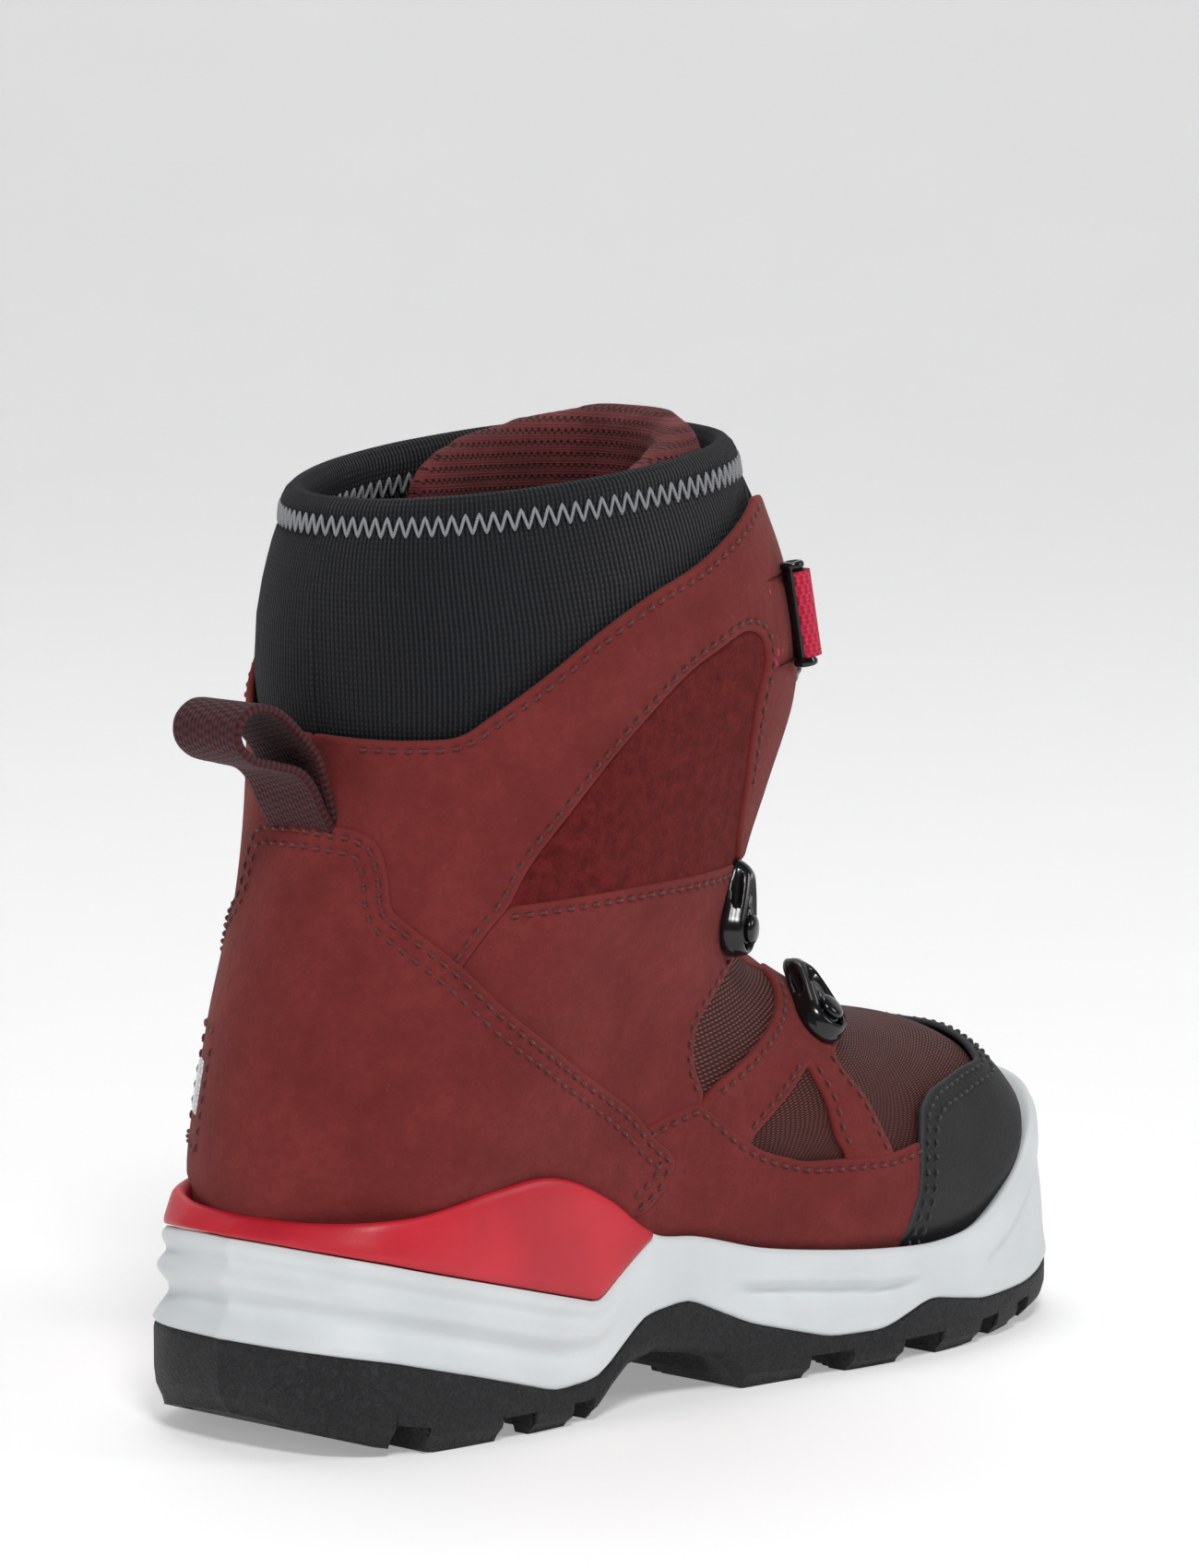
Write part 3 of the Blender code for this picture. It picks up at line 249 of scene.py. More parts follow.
def look_up(grid, s, w):
    """Values of a chart grid at chart places, blended between its points."""
    s, w = np.broadcast_arrays(np.asarray(s, float), np.asarray(w, float))
    i = np.clip(s / FINE_S, 0, grid.shape[0] - 1.001)
    j = ((w + 1) % 2) / FINE_W
    row, column = np.floor(i).astype(int), np.floor(j).astype(int)
    u, v = (i - row)[..., None], (j - column)[..., None]
    first = grid[row, column] * (1 - v) + grid[row, column + 1] * v
    second = grid[row + 1, column] * (1 - v) + grid[row + 1, column + 1] * v
    return first * (1 - u) + second * u


def skin(s, w):
    """Points on the foot form's skin, in millimetres."""
    return look_up(SKIN, s, w)


def outward(s, w):
    """Unit directions square to the skin."""
    n = look_up(OUTWARD, s, w)
    return n / np.linalg.norm(n, axis=-1, keepdims=True)


def raised(s, w, height):
    """Points a height above the skin, in millimetres."""
    return skin(s, w) + outward(s, w) * np.asarray(height, float)[..., None]


def on_side(x, z):
    """Chart place (s, w) of the outer-side point that the side view shows at (x, z)."""
    s = np.linspace(0, LAST, 2000)
    front, across = FRONT(s), BACK(s) - FRONT(s)
    turn = across[:, 0] * (z - front[:, 1]) - across[:, 1] * (x - front[:, 0])
    i = np.flatnonzero(np.diff(np.sign(turn)))[0]
    place = s[i] + (s[1] - s[0]) * turn[i] / (turn[i] - turn[i + 1])
    front, across = FRONT(place), BACK(place) - FRONT(place)
    share = np.clip(((x, z) - front) @ across / (across @ across), 0, 1)
    return place, -math.acos(1 - 2 * share) / math.pi


def on_outer(points):
    """Chart places of outer-side points given in the side view."""
    return [on_side(x, z) for x, z in points]


def mirrored(places):
    """The same chart places on the inner side, running the other way round."""
    return [(s, -w) for s, w in reversed(list(map(tuple, places)))]


def wrapped(places):
    """The inner-side half of a line that runs on past the back line."""
    return [(s, -2 - w) for s, w in reversed(list(map(tuple, places)))]


def smooth_run(places, spacing):
    """Chart places along a smooth line through a run, about a spacing in millimetres apart."""
    places = np.array(places, float)
    step = np.linalg.norm(np.diff(skin(*places.T), axis=0), axis=1)
    t = np.concatenate([[0], np.cumsum(np.maximum(step, 1e-3))])
    count = max(2, math.ceil(t[-1] / spacing) + 1)
    if len(places) == 2:
        return places[0] + (places[1] - places[0]) * np.linspace(0, 1, count)[:, None]
    return curve(np.column_stack([t, places]))(np.linspace(0, t[-1], count))


def trace(*runs, spacing=0.9):
    """A closed chart outline from smooth runs that meet at corners, wound the same way whichever side."""
    lines = []
    for run, following in zip(runs, runs[1:] + runs[:1]):
        line = smooth_run(run, spacing)
        lines.append(line if tuple(run[-1]) != tuple(following[0]) else line[:-1])
        if tuple(run[-1]) != tuple(following[0]):
            gap = smooth_run([run[-1], following[0]], spacing)
            lines.append(gap[1:-1])
    places = np.concatenate(lines)
    s, w = places.T
    return places if (w * np.roll(s, -1) - s * np.roll(w, -1)).sum() > 0 else places[::-1]


def slopes(s, w):
    """How the skin moves, in millimetres, along each chart direction."""
    by_s = (skin(s + 0.05, w) - skin(s - 0.05, w)) / 0.1
    by_w = (skin(s, w + 0.005) - skin(s, w - 0.005)) / 0.01
    return by_s, by_w


def shifted(places, move):
    """Chart places moved by vectors in millimetres along the skin."""
    a, b = slopes(*places.T)
    aa, ab, bb = (a * a).sum(-1), (a * b).sum(-1), (b * b).sum(-1)
    am, bm = (a * move).sum(-1), (b * move).sum(-1)
    size = np.maximum(aa * bb - ab * ab, 1e-9)
    return places + np.stack([bb * am - ab * bm, aa * bm - ab * am], -1) / size[:, None]


def drawn_in(places, gap, closed=True):
    """A chart line moved to its inner side by a gap in millimetres."""
    point = skin(*places.T)
    heading = np.roll(point, -1, axis=0) - np.roll(point, 1, axis=0)
    if not closed:
        heading[0], heading[-1] = point[1] - point[0], point[-1] - point[-2]
    inward = np.cross(heading, outward(*places.T))
    inward /= np.maximum(np.linalg.norm(inward, axis=1, keepdims=True), 1e-9)
    return shifted(places, inward * gap)


def rounded(places, passes=2):
    """A closed chart line with its corners softened."""
    for _ in range(passes):
        places = (np.roll(places, 1, axis=0) + 2 * places + np.roll(places, -1, axis=0)) / 4
    return places


def inside(places, edge):
    """Which chart places lie inside a closed edge."""
    s, w = places.T
    found = np.zeros(len(places), bool)
    for (s0, w0), (s1, w1) in zip(edge, np.roll(edge, -1, axis=0)):
        if s0 != s1:
            found ^= ((s0 > s) != (s1 > s)) & (w < w0 + (w1 - w0) * (s - s0) / (s1 - s0))
    return found


def nearest(points, others):
    """Index of and distance to the nearest of the others, for each point."""
    found, away = [], []
    for some in np.array_split(points, max(1, len(points) * len(others) // 2_000_000)):
        gap = np.linalg.norm(some[:, None] - others, axis=-1)
        found.append(gap.argmin(1))
        away.append(gap.min(1))
    return np.concatenate(found), np.concatenate(away)


# ---------------------------------------------------------------- building blocks
def to_scene(points):
    """Metres, with the origin under the middle of the heel."""
    return (np.asarray(points, float) - (HEEL_BACK, 0, 0)) * MM


def add_mesh(name, points, faces, material, smooth=True, cloth=None, wrap=0.0, edge=None):
    """One closed mesh from millimetre points; cloth holds (across, along) lengths for woven patterns,
    which start again after `wrap` millimetres, and edge the distance to the piece's cut edge."""
    mesh = bpy.data.meshes.new(name)
    mesh.from_pydata(to_scene(points).tolist(), [], [list(map(int, face)) for face in faces])
    mesh.materials.append(material)
    if edge is not None:
        values = mesh.attributes.new("edge", "FLOAT", "POINT").data
        values.foreach_set("value", np.asarray(edge, np.float32))
    if cloth is not None:
        corners = np.empty(len(mesh.loops), np.int32)
        mesh.loops.foreach_get("vertex_index", corners)
        spread = np.column_stack([cloth, np.zeros(len(cloth))])[corners]
        if wrap:
            starts = np.array([polygon.loop_start for polygon in mesh.polygons])
            sizes = np.array([polygon.loop_total for polygon in mesh.polygons])
            lowest = np.repeat(np.minimum.reduceat(spread[:, 0], starts), sizes)
            highest = np.repeat(np.maximum.reduceat(spread[:, 0], starts), sizes)
            seam = (highest - lowest > wrap / 2) & (spread[:, 0] < (lowest + highest) / 2)
            spread[seam, 0] += wrap
        values = mesh.attributes.new("cloth", "FLOAT_VECTOR", "CORNER").data
        values.foreach_set("vector", spread.astype(np.float32).ravel())
    bm = bmesh.new()
    bm.from_mesh(mesh)
    bmesh.ops.recalc_face_normals(bm, faces=bm.faces)
    bm.to_mesh(mesh)
    bm.free()
    mesh.polygons.foreach_set("use_smooth", [smooth] * len(mesh.polygons))
    piece = bpy.data.objects.new(name, mesh)
    bpy.context.scene.collection.objects.link(piece)
    return piece


def dressed(piece, slot, *nodes, body="root"):
    """A finished piece: it rides on its body and stands for its nodes; its slot is not used."""
    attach(piece, body)
    if nodes:
        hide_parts(*nodes)
    return piece


def carved(piece, cutter):
    """The piece with the cutter's form taken out of it."""
    tool = piece.modifiers.new("carve", "BOOLEAN")
    tool.operation, tool.solver, tool.object = "DIFFERENCE", "EXACT", cutter
    mesh = bpy.data.meshes.new_from_object(piece.evaluated_get(bpy.context.evaluated_depsgraph_get()))
    piece.modifiers.remove(tool)
    old, piece.data = piece.data, mesh
    mesh.name = piece.name
    bpy.data.meshes.remove(old)
    bpy.data.objects.remove(cutter, do_unlink=True)
    return piece


def loft(rings, closed_ends=(True, True)):
    """Points and faces of a loft over equal closed rings; a closed end gets a fan to its middle."""
    rings = [np.asarray(ring, float) for ring in rings]
    count = len(rings[0])
    points = np.concatenate(rings)
    faces = []
    for i in range(len(rings) - 1):
        for j in range(count):
            k = (j + 1) % count
            faces.append([i * count + j, i * count + k, (i + 1) * count + k, (i + 1) * count + j])
    for closed, ring in zip(closed_ends, (0, len(rings) - 1)):
        if closed:
            middle = len(points)
            points = np.concatenate([points, [rings[ring].mean(0)]])
            faces += [[ring * count + j, ring * count + (j + 1) % count, middle] for j in range(count)]
    return points, faces


CELL_S, CELL_W = 0.13, 0.013


def panel(name, outline, top, material, thick=1.4, relief=None):
    """A cut piece of leather or cloth with rounded edges, whose face is `top` millimetres above the skin."""
    rim = rounded(outline)
    rings = [rim, drawn_in(rim, 0.22), rounded(drawn_in(rim, 0.6), 1)]
    edge = rings[2]
    low, high = np.floor(edge.min(0) / (CELL_S, CELL_W)), np.ceil(edge.max(0) / (CELL_S, CELL_W))
    grid = np.stack(np.meshgrid(np.arange(low[0], high[0] + 1) * CELL_S,
                                np.arange(low[1], high[1] + 1) * CELL_W, indexing="ij"), -1).reshape(-1, 2)
    grid = grid[inside(grid, edge)]
    if len(grid):
        grid = grid[nearest(grid / (CELL_S, CELL_W), edge / (CELL_S, CELL_W))[1] > 0.55]
    flat = [Vector((w / CELL_W, s / CELL_S)) for s, w in np.concatenate([edge, grid])]
    bounds = [(i, (i + 1) % len(edge)) for i in range(len(edge))]
    flat, _, triangles, *_ = delaunay_2d_cdt(flat, bounds, [], 1, 1e-5)
    used = sorted({i for triangle in triangles for i in triangle})
    renumber = {old: new for new, old in enumerate(used)}
    triangles = [[renumber[i] for i in triangle] for triangle in triangles]
    places = np.array([(flat[i].y * CELL_S, flat[i].x * CELL_W) for i in used])
    sides = {(t[i], t[(i + 1) % 3]) for t in triangles for i in range(3)}
    sides = [(a, b) for a, b in sides if (b, a) not in sides]
    border = sorted({i for side in sides for i in side})
    at = {vertex: k for k, vertex in enumerate(border)}
    match = nearest(places[border] / (CELL_S, CELL_W), edge / (CELL_S, CELL_W))[0]
    count, extra = len(places), len(border)
    spots = [places, rings[1][match], rings[0][match], rings[0][match], places]
    drops = [0.0, 0.14, 0.5, thick - 0.2, thick]
    points, cloth, edges = [], [], []
    for spot, drop in zip(spots, drops):
        point = skin(*spot.T)
        height = np.full(len(spot), float(top))
        if relief:
            height += relief(*spot.T)
        low_edge = ease((point[:, 2] - rim_z(point[:, 0]) + 0.5) / 4)
        height = np.where(height > 0.1, 0.1 + (height - 0.1) * low_edge, height) - drop
        points.append(point + outward(*spot.T) * height[:, None])
        cloth.append(look_up(CLOTH, *spot.T))
        edges.append(nearest(point, skin(*rim.T))[1] if drop in (0.0, 0.14) else np.zeros(len(spot)))
    faces = [list(t) for t in triangles]
    starts = [count, count + extra, count + 2 * extra, count + 3 * extra]
    for a, b in sides:
        i, j = at[a], at[b]
        faces.append([b, a, starts[0] + i, starts[0] + j])
        faces.append([starts[0] + j, starts[0] + i, starts[1] + i, starts[1] + j])
        faces.append([starts[1] + j, starts[1] + i, starts[2] + i, starts[2] + j])
        faces.append([starts[2] + j, starts[2] + i, starts[3] + a, starts[3] + b])
    faces += [[starts[3] + i for i in reversed(t)] for t in triangles]
    return add_mesh(name, np.concatenate(points), faces, material, cloth=np.concatenate(cloth),
                    edge=np.concatenate(edges))


def spaced(points, spacing):
    """Points along a polyline, evenly spaced."""
    step = np.linalg.norm(np.diff(points, axis=0), axis=1)
    t = np.concatenate([[0], np.cumsum(step)])
    count = max(2, round(t[-1] / spacing) + 1)
    q = np.linspace(0, t[-1], count)
    return np.stack([np.interp(q, t, column) for column in points.T], -1)


THREAD_SIDES = 6


def threads(name, legs, radius, material):
    """Many short threads as one mesh; each leg is a list of points, and its ends are rounded off."""
    points, faces = [], []
    angles = np.arange(THREAD_SIDES) * 2 * np.pi / THREAD_SIDES
    for leg in legs:
        leg = np.asarray(leg, float)
        heading = np.gradient(leg, axis=0)
        heading /= np.linalg.norm(heading, axis=1, keepdims=True)
        side = np.cross(heading, (0.31, 0.12, 0.94))
        side /= np.linalg.norm(side, axis=1, keepdims=True)
        other = np.cross(heading, side)
        size = np.full(len(leg), radius)
        size[0] = size[-1] = radius * 0.45
        ring = (leg[:, None] + size[:, None, None]
                * (np.cos(angles)[:, None] * side[:, None] + np.sin(angles)[:, None] * other[:, None]))
        body, cover = loft(list(ring))
        start = sum(len(p) for p in points)
        points.append(body)
        faces += [[i + start for i in face] for face in cover]
    return add_mesh(name, np.concatenate(points), faces, material)


def stitch_row(path, height, look):
    """The legs of a stitch row: short arched threads along a chart line, a height above the skin."""
    point = raised(*path.T, height - 0.04)
    line = spaced(point, look.stitch_pitch / 6)
    up = outward(*path.T)
    up = np.stack([np.interp(np.linspace(0, 1, len(line)), np.linspace(0, 1, len(up)), column)
                   for column in up.T], -1)
    arch = np.array([-0.25, 0.2, 0.32, 0.2, -0.25]) * look.thread_radius / 0.28
    return [line[i : i + 5] + up[i : i + 5] * arch[:, None] for i in range(0, len(line) - 5, 6)]


# ---------------------------------------------------------------- the sole
sole_outer = curve([(i, x, y) for i, (x, y) in enumerate(SOLE_OUTER)])
sole_inner = curve([(i, x, y) for i, (x, y) in enumerate(SOLE_INNER)])
tread_z, parting_z, stabilizer_z = straight(TREAD_Z), straight(PARTING_Z), straight(STABILIZER_Z)
rim_z, rim_inset = curve(RIM_Z), straight(RIM_INSET)
BAND_FRONT = STABILIZER_Z[-1][0]


def blurred(height, reach=2.5):
    """The same height line with its corners rounded."""
    return lambda x: sum(height(np.asarray(x) + d * reach) * k for d, k in ((-1, 0.25), (0, 0.5), (1, 0.25)))


def plan_rows(spacing=1.0):
    """Stations x along the sole, evenly spaced round its outer edge."""
    line = sole_outer(np.linspace(0, 10, 2000))
    return spaced(line, spacing)[:, 0]


PLAN_X = plan_rows()


def plan_edge(side):
    """Half outline of the sole in plan, at the shared stations."""
    line = (sole_outer, sole_inner)[side](np.linspace(0, 10, 2000))
    return np.interp(PLAN_X, line[:, 0], line[:, 1])


def plan_loop():
    """The sole's outline in plan as one closed line from the heel along the outer side, and its normals."""
    outer, inner = (np.column_stack([PLAN_X, plan_edge(side)]) for side in (0, 1))
    line = spaced(np.concatenate([outer, inner[::-1]]), 1.0)[:-1]
    heading = np.roll(line, -1, axis=0) - np.roll(line, 1, axis=0)
    heading = (np.roll(heading, 1, axis=0) + heading + np.roll(heading, -1, axis=0))
    inward = np.stack([-heading[:, 1], heading[:, 0]], -1)
    return line, inward / np.linalg.norm(inward, axis=1, keepdims=True)


def wall_ring(line, inward, inset, height):
    """The sole's outline moved inward by an inset, at a height."""
    plan = line + inward * np.broadcast_to(inset, len(line))[:, None]
    return np.column_stack([plan, np.broadcast_to(height, len(line))])


def bump(v, middle, width):
    """A smooth hump of height 1."""
    return np.exp(-(((v - middle) / width) ** 2))


def build_midsole(look):
    """The white foam wall: fluted at the heel, scooped at the forefoot, with a lip round the upper."""
    line, inward = plan_loop()
    x = line[:, 0]
    low = blurred(parting_z)(x)
    banded = ease((BAND_FRONT + 1 - x) / 3)
    high = np.where(x < BAND_FRONT, blurred(stabilizer_z, 1.5)(x), rim_z(x))
    heel = ease((72 - x) / 22)
    waist = ease((x - 92) / 12) * ease((146 - x) / 12)
    toe = ease((x - 158) / 10) * ease((198 - x) / 12)
    rings = []
    for v in (0, 0.015, 0.05, 0.1, 0.16, 0.22, 0.28, 0.34, 0.4, 0.46, 0.52, 0.58, 0.64, 0.69, 0.74, 0.79,
              0.84, 0.9, 0.95, 0.985, 1):
        scoop = look.flute_depth * heel * (0.8 * bump(v, 0.76, 0.08) + 1.5 * bump(v, 0.34, 0.16))
        scoop -= heel * 0.6 * bump(v, 0.57, 0.1)
        centre = 0.5 - 0.16 * ((x - 120) / 24) ** 2
        scoop += waist * 1.9 * bump(v, centre, 0.1) - waist * 0.6 * bump(v, centre + 0.2, 0.1)
        scoop += toe * 1.6 * bump(v, 0.36 + 0.24 * (x - 160) / 30, 0.12)
        lip = 0.75 * (1 - ease(min(v, 1 - v) / 0.05)) + 0.25 * (1 - ease((1 - v) / 0.12))
        inset = rim_inset(x) * v * (0.45 + 0.55 * (1 - banded)) - 0.35 * bump(v, 0.05, 0.08)
        rings.append(wall_ring(line, inward, inset + scoop + lip * 0.8, low + (high - low) * v))
    tip = rings[-1]
    for inset, drop in ((0.7, 0.05), (1.5, 0.5), (3.4, 2.4), (7.5, 6.5)):
        rings.append(tip + np.column_stack([inward * inset, np.full(len(x), -float(drop))]))
    rings.append(wall_ring(line, inward, 13, low + 1))
    rings.append(wall_ring(line, inward, 12, low + 0.2))
    rings.append(wall_ring(line, inward, 3, low + 0.1))
    points, faces = loft(rings + rings[:1], (False, False))
    points = points[: -len(x)]
    faces = [[i % len(points) for i in face] for face in faces]
    return add_mesh("foam_midsole", points, faces, foam_material(look))


def build_band(look):
    """The red stabiliser that wraps the heel above the foam, pointed at its front ends."""
    line, inward = plan_loop()
    keep = line[:, 0] < BAND_FRONT
    banded = np.flatnonzero(keep)
    order = np.concatenate([banded[banded > len(line) / 2], banded[banded < len(line) / 2]])
    line, inward = line[order], inward[order]
    x = line[:, 0]
    low, high = blurred(stabilizer_z, 1.0)(x) + 0.25, rim_z(x) + 0.25
    high = np.maximum(high, low + 0.05)
    base = 0.45 * rim_inset(x)
    span = rim_inset(x) - base
    rings = []
    for v, inset in ((0, 1.1), (0.03, 0.4), (0.1, 0.05), (0.25, -0.12), (0.5, -0.1), (0.75, 0), (0.9, 0.1),
                     (0.97, 0.4), (1, 0.9)):
        rings.append(wall_ring(line, inward, base + span * v + inset, low + (high - low) * v))
    tip = rings[-1]
    for inset, drop in ((0.6, 0.1), (1.6, 0.8), (3.4, 2.6), (6, 5.4)):
        rings.append(tip + np.column_stack([inward * inset, -np.minimum(drop, 3 + (high - low) * 0.5)]))
    rings.append(wall_ring(line, inward, base + 6, low))
    sections = np.array(rings).transpose(1, 0, 2)
    return add_mesh("heel_stabilizer_band", *loft(list(sections)), red_plastic_material(look))


def tread_height(x, y, edge, look):
    """Height of the tread at plan places, from the edge notches and the grooves between the lugs."""
    base = tread_z(x)
    notch = np.zeros_like(x)
    for back, front in NOTCHES:
        notch = np.maximum(notch, ((x > back) & (x < front) & (edge < 9)).astype(float))
    middle = np.abs(y - 0.5)
    slant = x + middle * 0.35
    grooves = (12, 22, 34, 46, 57, 104, 114, 125, 136, 147, 158, 168, 178, 188, 198)
    groove = np.minimum.reduce([np.abs(slant - at) for at in grooves])
    across = np.abs(middle - 10 - 0.04 * np.abs(x - 100))
    deep = ((groove < 1.6) | (across < 1.4)) & (edge > 3.5) & ((x < 62) | (x > 99))
    waist = (x > 64) & (x < 97) & (edge > 5)
    return base + NOTCH_HIGH * notch + np.where(notch > 0, 0, look.groove_depth * deep) + 1.2 * waist


def build_outsole(look):
    """The rubber sole: a grained wall cut by side notches, and lugs underneath."""
    stops = [v for pair in NOTCHES for end in pair for v in (end - 0.06, end + 0.06)]
    x = np.unique(np.concatenate([PLAN_X, stops]))
    x[0], x[-1] = 0.02, PLAN_X[-1] - 0.02
    lines = [(sole_outer, sole_inner)[side](np.linspace(0, 10, 3000)) for side in (0, 1)]
    edges = [np.interp(x, line[:, 0], line[:, 1]) for line in lines]
    across = np.linspace(0, 1, 61)
    flat_x = np.repeat(x[:, None], len(across), axis=1)
    flat_y = edges[0][:, None] + (edges[1] - edges[0])[:, None] * across
    ends = np.minimum(flat_x, x[-1] - flat_x)
    reach = np.minimum(np.minimum(flat_y - edges[0][:, None], edges[1][:, None] - flat_y), ends + 0.01)
    inset = np.minimum(2.5, (edges[1] - edges[0])[:, None] * 0.3)
    bottom_y = edges[0][:, None] + inset + (edges[1] - edges[0] - 2 * inset[:, 0])[:, None] * across
    bottom_x = flat_x + 2.3 * np.where(flat_x < 6, (6 - flat_x) / 6, 0)
    bottom_x -= 2.3 * np.where(flat_x > x[-1] - 6, (flat_x - x[-1] + 6) / 6, 0)
    bottom_z = tread_height(flat_x, flat_y, reach, look)
    top = np.minimum(blurred(parting_z)(x)[:, None] + 0 * flat_x, 60)
    rows, columns = flat_x.shape
    bottom = np.stack([bottom_x, bottom_y, bottom_z], -1)
    points, faces = [bottom.reshape(-1, 3)], []
    for i in range(rows - 1):
        for j in range(columns - 1):
            faces.append([i * columns + j, (i + 1) * columns + j, (i + 1) * columns + j + 1,
                          i * columns + j + 1])
    loop = [(i, 0) for i in range(rows)] + [(rows - 1, j) for j in range(1, columns)]
    loop += [(i, columns - 1) for i in range(rows - 2, -1, -1)]
    loop += [(0, j) for j in range(columns - 2, 0, -1)]
    last = [i * columns + j for i, j in loop]
    i, j = np.array(loop).T
    start, plain = bottom[i, j], tread_z(flat_x[i, j])
    finish = np.stack([flat_x[i, j], flat_y[i, j], top[i, j]], -1)
    count = rows * columns
    for f in (0.03, 0.1, 0.25, 0.45, 0.7, 0.93, 0.985, 1):
        z = start[:, 2] + (finish[:, 2] - start[:, 2]) * f
        share = np.clip((z - plain) / np.maximum(finish[:, 2] - plain, 1), 0, 1)
        swell = ease(share / 0.35)
        ring = start + (finish - start) * np.maximum(swell, 0)[:, None]
        ring[:, 2] = z
        if f >= 0.985:
            ring[:, :2] += (start[:, :2] - finish[:, :2]) * (0.1 if f < 1 else 0.3)
        points.append(ring)
        here = list(range(count, count + len(loop)))
        faces += [[last[k], last[(k + 1) % len(loop)], here[(k + 1) % len(loop)], here[k]]
                  for k in range(len(loop))]
        last, count = here, count + len(loop)
    lid = {(a, b): last[k] for k, (a, b) in enumerate(loop)}
    for a in range(rows - 1):
        ends = [lid[a, 0], lid[a + 1, 0], lid[a + 1, columns - 1], lid[a, columns - 1]]
        if a == 0:
            ends += [lid[0, j] for j in range(columns - 2, 0, -1)]
        if a == rows - 2:
            ends = ends[:2] + [lid[rows - 1, j] for j in range(1, columns - 1)] + ends[2:]
        faces.append(ends)
    return add_mesh("rubber_outsole", np.concatenate(points), faces, rubber_material(look))


# ---------------------------------------------------------------- the upper's leather and mesh
BACK_TOP, BACK_HEEL, BACK_FEATHER = (3.59, -1), (4.66, -1), (9.3, -1)
THROAT_TOP, THROAT_ANKLE = (1.5, -0.235), (5.55, -0.235)
THROAT_LOW, THROAT_END = (7.03, -0.25), (8.35, -0.155)
STAY_TOP, STAY_TOE = (8.55, -0.08), (10.4, -0.1)
CAP_TOP, CAP_TIP = (16.4, 0), (19.15, 0)
HEEL_FEATHER = [(72, 34), (66, 33), (58, 37), (50, 40), (38, 40), (21, 37), (12, 36.5)]
TOPS = {"mesh": -0.75, "suede": -0.3, "side": 0.2, "stay": 0.35, "quarter": 0.6, "guard": 0.65, "heel": 1.25,
        "cap": 1.2}


def creases(s, w):
    """Soft wrinkles where the side panel bends at the ankle."""
    x, _, z = skin(s, w).T
    near = np.exp(-(((x - 74) / 15) ** 2 + ((z - 83) / 9) ** 2))
    wave = np.sin(z * 1.5 + 1.3 * np.sin(x * 0.33) + 0.6 * np.sin(x * 0.9))
    return near * (0.32 * wave - 0.15) * (w > -0.99)


